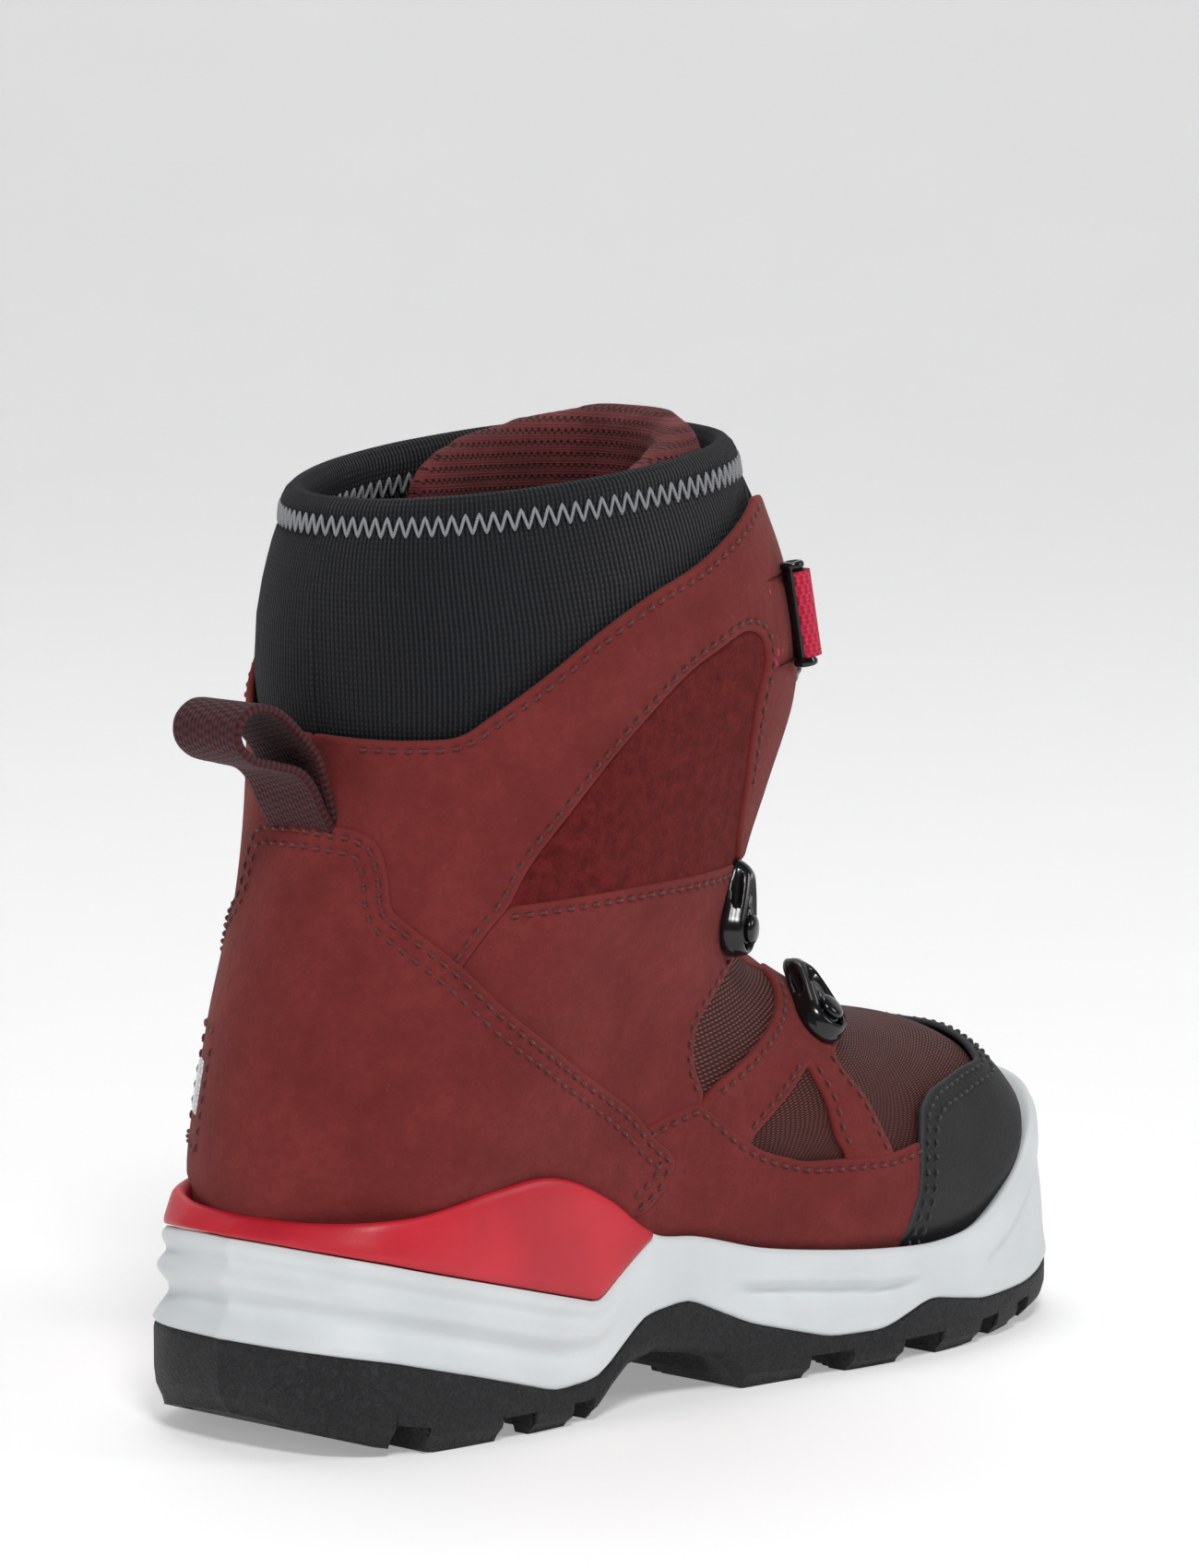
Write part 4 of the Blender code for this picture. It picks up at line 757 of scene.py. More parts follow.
def upper_outlines():
    """The pattern: each piece's chart outline on the outer side, hidden edges running on under the next."""
    seam = on_outer(INSET_REAR), on_outer(INSET_CROWN), on_outer(INSET_FRONT)
    quarter = trace([BACK_TOP] + on_outer(TOP_LINE[:1]), on_outer(TOP_LINE),
                    on_outer(TOP_LINE[-1:]) + [THROAT_TOP], [THROAT_TOP, THROAT_ANKLE],
                    [THROAT_ANKLE] + on_outer(INSET_FRONT[-1:]),
                    seam[2][::-1], seam[1][::-1], seam[0][::-1],
                    on_outer(QUARTER_TAIL)[::-1], on_outer([(33, 85), (30, 80), (18, 84), (16, 96)])
                    + [(5.6, -1)])
    suede = trace(on_outer([(38, 92), (41, 101), (47, 110), (60, 126), (75, 137), (89, 142), (97, 143)]),
                  on_outer([(97, 143), (102.5, 141), (104, 134), (102, 120), (104, 108), (107, 95)]),
                  on_outer([(107, 95), (88, 92), (56, 92), (38, 92)]))
    side = trace(on_outer([(33, 85), (37, 90.5), (41, 95.2)]), on_outer(INSET_FOOT),
                 on_outer(INSET_FOOT[-1:]) + [THROAT_ANKLE], [THROAT_ANKLE, (6.3, -0.238), THROAT_LOW],
                 [THROAT_LOW] + on_outer(WINDOW_BACK[:1]), on_outer(WINDOW_BACK),
                 on_outer([(91.5, 55.8), (88, 48), (72, 46), (60, 55), (44, 66), (30, 78), (33, 85)]))
    heel = on_outer(HEEL_TOP), on_outer(HEEL_SLANT), on_outer(HEEL_NOSE), on_outer(HEEL_FEATHER)
    heel = trace([BACK_HEEL] + heel[0][:1], *heel, heel[3][-1:] + [BACK_FEATHER] + wrapped(heel[3][-1:]),
                 wrapped(heel[3]), wrapped(heel[2]), wrapped(heel[1]), wrapped(heel[0]),
                 wrapped(heel[0][:1]) + [(BACK_HEEL[0], -1)])
    guard = trace(on_outer([(76, 51.2), (84, 53.4), (89.7, 54.2)]), on_outer(GUARD_TOP),
                  on_outer([(147.5, 39.8), (149, 36), (147, 28), (142, 18)]),
                  on_outer([(142, 18), (128, 18.2), (119, 19.6), (103, 22.5), (88, 26.4), (74, 30)]),
                  on_outer([(74, 30), (70, 40), (76, 51.2)]))
    stay = trace(on_outer([(89.4, 53.4), (94.5, 56.8)]), on_outer(WINDOW_FRONT), on_outer(WINDOW_FRONT[-1:])
                 + [THROAT_END], [THROAT_END, STAY_TOP], [STAY_TOP, (9.5, -0.085), STAY_TOE],
                 [STAY_TOE] + on_outer(STRAP_TOE[:1]), on_outer(STRAP_TOE),
                 on_outer([(138.4, 40), (139, 37), (126, 36.5), (125.6, 40)]),
                 on_outer(STRAP_FRONT), on_outer(STRAP_REAR[::-1]),
                 on_outer([(103.4, 46.4), (101, 43), (92, 46), (89.4, 53.4)]))
    cap = on_outer(CAP_SIDE), on_outer(CAP_BROW)
    foot = on_outer([(137, 15.5), (150, 16.5), (161, 18.5), (175, 24), (188, 32), (198, 37.5)])
    cap = trace([CAP_TOP] + cap[1][-1:], cap[1][::-1], cap[0][::-1], foot, foot[-1:] + [CAP_TIP]
                + mirrored(foot[-1:]), mirrored(foot), mirrored(cap[0][::-1]), mirrored(cap[1][::-1]),
                mirrored(cap[1][-1:]) + [CAP_TOP])
    shield = [(1.7, -0.245), (5.5, -0.25), (7, -0.24), (8.2, -0.15), (8.9, -0.1)]
    shield = trace(shield, [shield[-1]] + mirrored(shield[-1:]), mirrored(shield))
    mesh = on_outer([(107, 84), (94, 77), (86, 68), (86, 52), (100, 41), (120, 34), (140, 34), (152, 36)])
    mesh = trace([(8.0, 0), (7.6, -0.1), (6.9, -0.22)], [(6.9, -0.22)] + mesh[:1], mesh,
                 mesh[-1:] + [(17.2, -0.3), (17.6, 0)] + mirrored([(17.2, -0.3)] + mesh[-1:]),
                 mirrored(mesh), mirrored([(6.9, -0.22)] + mesh[:1]),
                 mirrored([(7.6, -0.1), (6.9, -0.22)]))
    return {"quarter": quarter, "suede": suede, "side": side, "heel": heel, "guard": guard, "stay": stay,
            "cap": cap, "shield": shield, "mesh": mesh}


def both_sides(outline):
    """An outline and its mirror image on the inner side, each wound alike."""
    return (("lateral", outline), ("medial", np.array(mirrored(outline))))


def build_leather(look):
    """Every cut piece of the upper, laid over the next as it is sewn."""
    pattern = upper_outlines()
    nubuck, suede = nubuck_material(look), suede_material(look)
    mesh, coat = weave_material(look), coat_material(look)
    thick = look.leather
    piece = panel("vamp_and_window_mesh", pattern["mesh"], TOPS["mesh"], mesh, 1.2)
    dressed(piece, "mesh", "vamp_mesh", "window_mesh_lateral", "window_mesh_medial", "corner_mesh_lateral",
            "corner_mesh_medial")
    dressed(panel("instep_shield_leather", pattern["shield"], -0.2, nubuck, thick), "nubuck", "instep_shield")
    for name, key, material, slot, nodes, relief in (
            ("ankle_suede", "suede", suede, "suede", ("ankle_inset",), None),
            ("side_leather", "side", nubuck, "nubuck", ("side_panel",), creases),
            ("instep_stay_leather", "stay", nubuck, "nubuck", ("instep_stay",), None),
            ("quarter_leather", "quarter", nubuck, "nubuck", ("quarter",), None),
            ("mudguard_leather", "guard", nubuck, "nubuck", ("mudguard",), None)):
        for side, outline in both_sides(pattern[key]):
            piece = panel(name + "_" + side, outline, TOPS[key], material, thick, relief)
            dressed(piece, slot, *[node + "_" + side for node in nodes])
    dressed(panel("heel_leather", pattern["heel"], TOPS["heel"], nubuck, thick), "nubuck", "heel_overlay")
    dressed(panel("toe_cap_coated", pattern["cap"], TOPS["cap"], coat, thick), "toe_coat", "toe_cap")


def beside(line, gap, toward):
    """A chart line moved a gap in millimetres to the side on which a chart place lies."""
    moved, other = drawn_in(line, gap, False), drawn_in(line, -gap, False)
    target = skin(*toward)
    middle = len(line) // 2
    nearer = [np.linalg.norm(skin(*some[middle]) - target) for some in (moved, other)]
    return moved if nearer[0] < nearer[1] else other


def stitch_lines(look):
    """Chart lines of every stitch row, with the height of the leather they pass through."""
    edge = look.stitch_edge
    heel_rim = on_outer(HEEL_TOP)
    heel = [[BACK_HEEL, heel_rim[0]], heel_rim, on_outer(HEEL_SLANT), on_outer(HEEL_NOSE)]
    heel = rounded_line(np.concatenate([smooth_run(run, 0.8)[:-1] for run in heel]))
    cap = rounded_line(np.concatenate([smooth_run(on_outer(run), 0.8)[:-1] for run in (CAP_SIDE, CAP_BROW)]
                                      + [smooth_run([on_side(*CAP_BROW[-1]), CAP_TOP], 0.8)]))
    seam = [on_outer(run) for run in (QUARTER_TAIL, INSET_REAR, INSET_CROWN, INSET_FRONT[:4])]
    seam = rounded_line(np.concatenate([smooth_run(run, 0.8)[:-1] for run in seam]))
    heel_side, toe_side, side_side = on_side(30, 60), on_side(175, 35), on_side(75, 80)
    rows = []
    for gap in (edge, edge + 2.6):
        rows.append(("red", beside(heel, gap, heel_side), 1.25))
        rows.append(("black", beside(cap, gap, toe_side), 1.2))
    top = smooth_run(on_outer(TOP_LINE), 0.8)
    guard = smooth_run(on_outer([(76, 51.2), (84, 53.4)] + GUARD_TOP), 0.8)
    stay = on_side(118, 61)
    rows += [("red", beside(top, edge, on_side(50, 115)), 0.6),
             ("red", beside(seam, edge, on_side(45, 125)), 0.6),
             ("red", beside(smooth_run(on_outer(INSET_FOOT), 0.8), edge, side_side), 0.2),
             ("red", beside(guard, edge, on_side(110, 30)), 0.65),
             ("red", beside(smooth_run(on_outer(WINDOW_BACK), 0.8), edge, side_side), 0.2),
             ("red", beside(smooth_run(on_outer(WINDOW_FRONT), 0.8), edge, stay), 0.35),
             ("red", beside(smooth_run(on_outer(STRAP_REAR), 0.8), edge, on_side(100, 56)), 0.35),
             ("red", beside(smooth_run(on_outer(STRAP_FRONT), 0.8), edge, on_side(130, 52)), 0.35),
             ("red", beside(smooth_run(on_outer(STRAP_TOE), 0.8), edge, on_side(126, 50)), 0.35)]
    return rows


def rounded_line(places, passes=2):
    """An open chart line with its corners softened."""
    for _ in range(passes):
        places = np.concatenate([places[:1], (places[:-2] + 2 * places[1:-1] + places[2:]) / 4, places[-1:]])
    return places


def build_stitches(look):
    """Dark thread along the seams, on both sides of the boot."""
    groups = {"red": [], "black": []}
    for name, line, height in stitch_lines(look):
        for path in (line, line * (1, -1)):
            groups[name] += stitch_row(path, height, look)
    for name, legs in groups.items():
        material = thread_material(look, name)
        slot = "toe_coat" if name == "black" else "nubuck"
        dressed(threads("seam_thread_" + name, legs, look.thread_radius, material), slot)


# ---------------------------------------------------------------- collar, tongue, lining and footbed
def columns_round(count):
    """Evenly spaced w round the whole skin."""
    return np.linspace(-1, 1, count, endpoint=False)


def collar_rings(look):
    """Rings of the knit cuff as (station offset, height): rolled rim, zigzag furrow, then a soft bulge."""
    w = columns_round(240)
    rings, cloth = [], []
    profile = [(4.2, -6.4), (2.9, -6.8), (2.0, -6.9), (1.5, -6.7), (1.32, -6.3), (1.15, -6.9), (0.98, -7.1),
               (0.86, -6.5), (0.77, -5.4), (0.74, -4.3), (0.77, -3.2), (0.85, -2.3), (0.94, -1.85),
               (1.02, -1.85), (1.1, -2.3), (1.16, -2.45), (1.22, -2.2), (1.32, -1.8), (1.5, -1.45),
               (1.75, -1.3), (2.0, -1.25), (2.4, -1.25), (3.0, -1.3), (3.4, -1.4), (3.8, -1.7), (4.2, -2.0),
               (4.7, -2.4)]
    top_line = np.array(on_outer(TOP_LINE))
    leather = np.interp(np.abs(w), np.abs(top_line[::-1, 1]), top_line[::-1, 0])
    leather = np.where(np.abs(w) > abs(top_line[0, 1]), BACK_TOP[0], leather)
    leather = np.where(np.abs(w) < 0.24, 1.9, leather)
    for s, height in profile:
        place = np.full(len(w), s)
        sunk = ease((place - leather + 0.3) / 0.4) if height > -3 and s > 1.2 else np.zeros(len(w))
        level = height * (1 - sunk) - 2.4 * sunk
        wobble = 0.22 * np.sin(w * 9 + s * 2.1) + 0.16 * np.sin(w * 23 + 1.3 * s)
        rings.append(raised(place, w, level + wobble * (1 - sunk)))
        cloth.append(np.column_stack([(w + 1) * look.collar_round / 2, np.full(len(w), 9.5 * s)]))
    return rings, np.concatenate(cloth)


def build_collar(look):
    """The knit cuff and the zigzag round both faces of its rim."""
    rings, cloth = collar_rings(look)
    points, faces = loft(rings + rings[:1], (False, False))
    count = len(points) - len(rings[0])
    faces = [[i % count for i in face] for face in faces]
    piece = add_mesh("knit_collar", points[:count], faces, knit_material(look), cloth=cloth[:count],
                     wrap=look.collar_round)
    dressed(piece, "neoprene", "collar")
    pitches = round(look.collar_round / look.zigzag_pitch)
    places = np.linspace(-1, 1, 2 * pitches, endpoint=False) + 0.003
    for name, upper, lower, height in (("outside", (0.99, -1.85), (1.25, -2.1), 0.25),
                                       ("inside", (1.1, -7.05), (1.36, -6.4), -0.3)):
        legs = []
        for k in range(2 * pitches):
            first, second = (upper, lower) if k % 2 else (lower, upper)
            a = raised(first[0], places[k], first[1] + height)
            b = raised(second[0], places[(k + 1) % len(places)], second[1] + height)
            middle = raised((first[0] + second[0]) / 2, (places[k] + places[k] + 1 / pitches) / 2,
                            (first[1] + second[1]) / 2 + height * 1.2)
            legs.append(spaced(np.array([a, middle, b]), 0.8))
        thread = threads("zigzag_" + name, legs, look.thread_radius, thread_material(look, "grey"))
        dressed(thread, "neoprene")


def tongue_outline(s):
    """Half the tongue's width round the skin, as w, at station s."""
    return np.interp(s, [0.38, 0.42, 0.5, 0.65, 0.9, 1.5, 2.5, 4, 5.5, 7.6, 7.9],
                     [0.12, 0.24, 0.36, 0.45, 0.5, 0.52, 0.44, 0.32, 0.24, 0.14, 0.06])


def tongue_pad():
    """The tongue as a closed padded form: a thick roll at its top, thinner down the instep."""
    stations = np.concatenate([[0.4, 0.44, 0.52, 0.64, 0.8, 1.0], np.linspace(1.25, 7.9, 40)])
    turn = np.linspace(0, 2 * np.pi, 56, endpoint=False)
    rings = []
    for s in stations:
        half = tongue_outline(s)
        roll = ease((2.4 - s) / 1.2)
        top_round = math.sqrt(max(0.0, 1 - (1 - min((s - 0.38) / 0.8, 1)) ** 2)) * 0.95 + 0.05
        outer, inner = -8.2 + 0.8 * roll, -12.6 - 4.5 * roll
        middle, thick = (outer + inner) / 2, (outer - inner) / 2 * top_round
        across = np.sign(np.cos(turn)) * np.abs(np.cos(turn)) ** 0.8
        bulge = np.sign(np.sin(turn)) * np.abs(np.sin(turn)) ** 0.62
        hollow = -1.6 * roll * (1 - across**2)
        place = np.full(len(turn), s) + 0.1 * roll * np.abs(across) ** 3
        rings.append(raised(place, half * across, middle + hollow * (bulge < 0) + thick * bulge))
    return loft(rings)


def puffed(piece, look):
    """Blows the pad up like the foam inside it, keeping every point near its pattern."""
    bpy.context.view_layer.update()
    remesh = piece.modifiers.new("even", "REMESH")
    remesh.mode, remesh.voxel_size = "VOXEL", look.voxel * MM
    graph = bpy.context.evaluated_depsgraph_get()
    even = bpy.data.meshes.new_from_object(piece.evaluated_get(graph))
    piece.modifiers.remove(remesh)
    old, piece.data = piece.data, even
    bpy.data.meshes.remove(old)
    start = np.array([v.co for v in even.vertices])
    cloth = piece.modifiers.new("pressure", "CLOTH")
    settings = cloth.settings
    settings.quality, settings.mass = 5, 0.15
    settings.tension_stiffness = settings.compression_stiffness = 18
    settings.bending_stiffness = 1.2
    settings.use_pressure, settings.uniform_pressure_force = True, look.pressure
    settings.effector_weights.gravity = 0
    cloth.point_cache.frame_start, cloth.point_cache.frame_end = 1, 20
    scene = bpy.context.scene
    for frame_number in range(1, 21):
        scene.frame_set(frame_number)
    graph = bpy.context.evaluated_depsgraph_get()
    end = np.array([v.co for v in piece.evaluated_get(graph).data.vertices])
    piece.modifiers.remove(cloth)
    scene.frame_set(1)
    move = end - start
    size = np.linalg.norm(move, axis=1, keepdims=True)
    move *= np.minimum(1, look.puff * MM / np.maximum(size, 1e-9))
    even.vertices.foreach_set("co", (start + move).astype(np.float32).ravel())
    smooth = piece.modifiers.new("smooth", "SUBSURF")
    smooth.levels = smooth.render_levels = 1
    made = bpy.data.meshes.new_from_object(piece.evaluated_get(bpy.context.evaluated_depsgraph_get()))
    piece.modifiers.remove(smooth)
    piece.data = made
    bpy.data.meshes.remove(even)
    made.polygons.foreach_set("use_smooth", [True] * len(made.polygons))
    return piece


def lengths_on(piece, centre_x):
    """Cloth lengths round an upright axis and up it, for a piece with no pattern of its own."""
    mesh = piece.data
    corners = np.empty(len(mesh.loops), np.int32)
    mesh.loops.foreach_get("vertex_index", corners)
    points = np.empty(len(mesh.vertices) * 3, np.float32)
    mesh.vertices.foreach_get("co", points)
    x, y, z = points.reshape(-1, 3).T / MM
    turn = np.arctan2(y, x + HEEL_BACK - centre_x) * 46
    values = mesh.attributes.new("cloth", "FLOAT_VECTOR", "CORNER").data
    spread = np.column_stack([turn, z, np.zeros(len(z))])[corners]
    values.foreach_set("vector", spread.astype(np.float32).ravel())


def build_tongue(look):
    """The padded tongue, blown up like the foam in it."""
    points, faces = tongue_pad()
    piece = add_mesh("padded_tongue", points, faces, spacer_material(look))
    puffed(piece, look)
    if not piece.data.materials:
        piece.data.materials.append(spacer_material(look))
    lengths_on(piece, 78)
    dressed(piece, "tongue_mesh", "tongue", body="tongue")


def build_lining(look):
    """The fleece inside, from under the collar down to the footbed."""
    w = columns_round(96)
    rows = np.concatenate([np.linspace(4.3, 18.6, 60), [18.9]])
    rings = []
    for height, stations in ((-6.3, rows[::-1]), (-3.7, rows)):
        for s in stations:
            fluff = 0.18 * np.sin(w * 61 + s * 7) + 0.18 * np.sin(w * 37 - s * 9)
            rings.append(raised(np.full(len(w), s), w, height + fluff * (height < -5)))
    dressed(add_mesh("fleece_lining", *loft(rings), fleece_material(look)), "fleece", "lining")
    x = np.linspace(36, 180, 110)
    ends = np.sqrt(np.clip(1 - (np.abs(x - 108) / 72.6) ** 6, 0, 1))
    rings = []
    for place, end in zip(x, ends):
        z, half = underside(place), half_widths(np.array([place]), underside(np.array([place])) + 11)[0]
        left, right = (half - 11) * (0.35 + 0.65 * end)
        turn = np.linspace(0, 2 * np.pi, 40, endpoint=False)
        across, lift = np.cos(turn), np.sin(turn)
        reach = np.where(across < 0, left, right) * np.sign(across) * np.abs(across) ** 0.45
        cup = 1.6 * np.abs(across) ** 3
        level = z + 11 + 1.7 * np.sign(lift) * np.abs(lift) ** 0.5 + cup
        rings.append(np.column_stack([np.full(40, place), centre_line(place) + reach, level]))
    dressed(add_mesh("fleece_footbed", *loft(rings), fleece_material(look)), "fleece", "footbed")


LOOP_PATH = [(25.4, 106.4), (23.8, 109.6), (22.6, 113), (21.6, 116), (19.2, 121.5), (15, 126),
             (9.6, 130.2), (4.2, 131.4), (0.2, 129.2), (0, 125.6), (3.4, 122.6), (9, 121),
             (14.6, 119.4), (18, 116.4), (20.0, 112.8), (21.9, 109.9), (24.0, 106.8)]
LOOP_MIDDLE, LOOP_HALF = 1.0, 8.0


def build_loop(look):
    """The webbing pull loop, both ends sewn in under the heel leather."""
    path = curve([(i, x, z) for i, (x, z) in enumerate(LOOP_PATH)])
    t = np.linspace(0, len(LOOP_PATH) - 1, 150)
    place, heading = path(t), path(t + 0.02) - path(t - 0.02)
    length = np.concatenate([[0], np.cumsum(np.linalg.norm(np.diff(place, axis=0), axis=1))])
    side = np.stack([-heading[:, 1], heading[:, 0]], 1)
    side /= np.linalg.norm(side, axis=1, keepdims=True)
    half, thick = LOOP_HALF, 0.8
    section = [(-half + 0.25, thick * 0.9), (-half, 0.35), (-half, -0.35), (-half + 0.25, -thick * 0.9)]
    section += [(y, -thick) for y in np.linspace(-half + 1, half - 1, 14)]
    section += [(half - 0.25, -thick * 0.9), (half, -0.35), (half, 0.35), (half - 0.25, thick * 0.9)]
    section += [(y, thick) for y in np.linspace(half - 1, -half + 1, 14)]
    rings, cloth = [], []
    for (x, z), (dx, dz), along in zip(place, side, length):
        rings.append(np.array([(x + dx * h, LOOP_MIDDLE + y, z + dz * h) for y, h in section]))
        cloth.append([(y, along) for y, h in section])
    points, faces = loft(rings)
    cloth = np.concatenate(cloth + [[(0, 0), (0, 0)]])
    piece = add_mesh("webbing_pull_loop", points, faces, webbing_material(look, "maroon"), cloth=cloth)
    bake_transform(piece)
    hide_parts("pull_loop")
    strip = trace([(7.46, 0.828), (8.1, 0.828)], [(8.1, 0.828), (8.1, 0.862)], [(8.1, 0.862), (7.46, 0.862)],
                  [(7.46, 0.862), (7.46, 0.828)], spacing=0.6)
    piece = panel("reflective_tab", strip, 1.6, reflector_material(look), 0.7)
    dressed(piece, "reflector", "reflective_strip")
    frame = np.array([(7.1, 0.795), (8.5, 0.795), (8.5, 0.883), (7.1, 0.883)])
    legs = []
    for a, b in zip(frame, np.roll(frame, -1, axis=0)):
        legs += stitch_row(smooth_run([a, b], 0.8), TOPS["heel"], look)
    dressed(threads("tab_thread", legs, look.thread_radius, thread_material(look, "red")), "nubuck")


# ---------------------------------------------------------------- lace hardware
def frame_at(s, w, toward, footprint):
    """Origin, along, across and up of a flat part on the skin, clear of the skin under its footprint."""
    origin, up = skin(s, w), outward(s, w)
    along = skin(*toward) - origin
    along -= up * (along @ up)
    along /= np.linalg.norm(along)
    spread = np.linspace(-1, 1, 9)
    around = skin(s + footprint[0] * spread[:, None], w + footprint[1] * spread)
    lift = ((around - origin) @ up).max() + 0.3
    return origin + up * lift, along, np.cross(up, along), up


def placed(seat, points):
    """Points given along a fitting's own axes, in the model's millimetres."""
    origin, *axes = seat
    return origin + np.asarray(points, float) @ np.array(axes)


def turned(name, profile, seat, material, segments=64, ripple=None):
    """A turned piece from a closed profile of (radius, height), around the seat's up axis."""
    rings = []
    for a in np.arange(segments) * 2 * np.pi / segments:
        rings.append(placed(seat, [((r + (ripple(a, r, h) if ripple else 0)) * math.cos(a),
                                     (r + (ripple(a, r, h) if ripple else 0)) * math.sin(a), h)
                                    for r, h in profile]))
    points = np.concatenate(rings)
    count, faces = len(profile), []
    axis = [k for k, (r, h) in enumerate(profile) if r == 0]
    index = np.arange(len(points))
    for k in axis:
        index[k::count] = k
    for i in range(segments):
        j = (i + 1) % segments
        for a in range(count):
            b = (a + 1) % count
            face = [index[i * count + a], index[i * count + b], index[j * count + b], index[j * count + a]]
            face = list(dict.fromkeys(face))
            if len(face) > 2:
                faces.append(face)
    used = sorted({i for face in faces for i in face})
    renumbered = {old: new for new, old in enumerate(used)}
    return add_mesh(name, points[used], [[renumbered[i] for i in face] for face in faces], material)


def bent_tube(name, seat, path, radius, material, sides=16):
    """A tube with closed ends along a path in a seat."""
    route = curve([(i,) + tuple(p) for i, p in enumerate(path)])
    t = np.linspace(0, len(path) - 1, 6 * len(path))
    place, heading = route(t), route(t + 0.02) - route(t - 0.02)
    heading /= np.linalg.norm(heading, axis=1, keepdims=True)
    side = np.stack([-heading[:, 1], heading[:, 0], heading[:, 0] * 0], 1)
    side /= np.linalg.norm(side, axis=1, keepdims=True)
    other = np.cross(heading, side)
    angles = (np.arange(sides) + 0.5) * 2 * np.pi / sides
    rings = [placed(seat, [p + radius * (math.cos(a) * u + math.sin(a) * v) for a in angles])
             for p, u, v in zip(place, side, other)]
    return add_mesh(name, *loft(rings), material)


def teardrop_reach(angle, length, width):
    """Distance from the eyelet to a guide's outline: round behind, narrowing to a blunt nose."""
    radius, nose = width / 2, width * 0.24
    reach = length - radius - nose
    lean = math.asin((radius - nose) / reach)
    angle = abs((angle + math.pi) % (2 * math.pi) - math.pi)
    if angle > math.pi / 2 - lean:
        return radius
    along = radius / max(math.cos(angle - (math.pi / 2 - lean)), 1e-6)
    touch = math.atan2(nose * math.cos(lean), reach + nose * math.sin(lean))
    if angle > touch:
        return along
    return reach * math.cos(angle) + math.sqrt(max(nose**2 - (reach * math.sin(angle)) ** 2, 0))


def lace_guide(name, place, toward, length, width, sink, look):
    """A glossy moulded guide: a teardrop with an oval groove round its domed eyelet, and a lace tunnel."""
    seat = frame_at(*place, toward, (0.75, 0.06))
    seat = (seat[0] - sink * seat[3],) + seat[1:]
    black = gloss_material(look)
    angles = np.linspace(0, 2 * np.pi, 96, endpoint=False)
    reach = np.array([teardrop_reach(a, length, width) for a in angles])
    steps = np.array([0.06, 0.12, 0.2, 0.3, 0.36, 0.42, 0.47, 0.52, 0.56, 0.6, 0.65, 0.7, 0.76, 0.83,
                      0.9, 0.95, 0.985, 1.0])
    rings = []
    for f in steps:
        r = reach * f
        inner = width / 2 * f
        high = 4.5 - 1.1 * ease((inner - 1.0) / 1.2) + 0.5 * bump(inner, 2.55, 0.4)
        high -= 1.5 * bump(inner, 3.25, 0.42)
        high += 0.75 * bump(inner, 4.15, 0.45) - 0.9 * ease((f - 0.82) / 0.18) ** 2
        slope = high - 0.9 * ease((r - width / 2) / (length - width / 2)) - 0.9 * ease((f - 0.92) / 0.08)
        rings.append(placed(seat, np.column_stack([r * np.cos(angles), r * np.sin(angles), slope])))
    for f, high in ((0.995, 0.45), (0.985, 0.2), (0.96, 0.0), (0.5, 0.0)):
        r = reach * f
        rings.append(placed(seat, np.column_stack([r * np.cos(angles), r * np.sin(angles), 0 * r + high])))
    guide = add_mesh(name + "_moulded", *loft(rings), black)
    leg = width / 2 - 1.9
    leg_in = [(length, leg), (length * 0.45, leg), (0.3, leg), (-leg * 0.75, leg * 0.7)]
    path = [(u, v, 2.0) for u, v in leg_in + [(-leg, 0)] + [(u, -v) for u, v in reversed(leg_in)]]
    carved(guide, bent_tube("tunnel", seat, path, 1.0, black, 12))
    guide.data.polygons.foreach_set("use_smooth", [True] * len(guide.data.polygons))
    dressed(guide, "black_plastic", name)
    rivet = name.replace("guide", "rivet")
    cap = turned(rivet + "_head", [(0, 3.6), (2.0, 3.6), (2.5, 3.9), (2.75, 4.4), (2.6, 4.9), (2.0, 5.25),
                                   (1.0, 5.45), (0, 5.5)], seat, black, 48)
    dressed(cap, "rivet_steel", rivet)


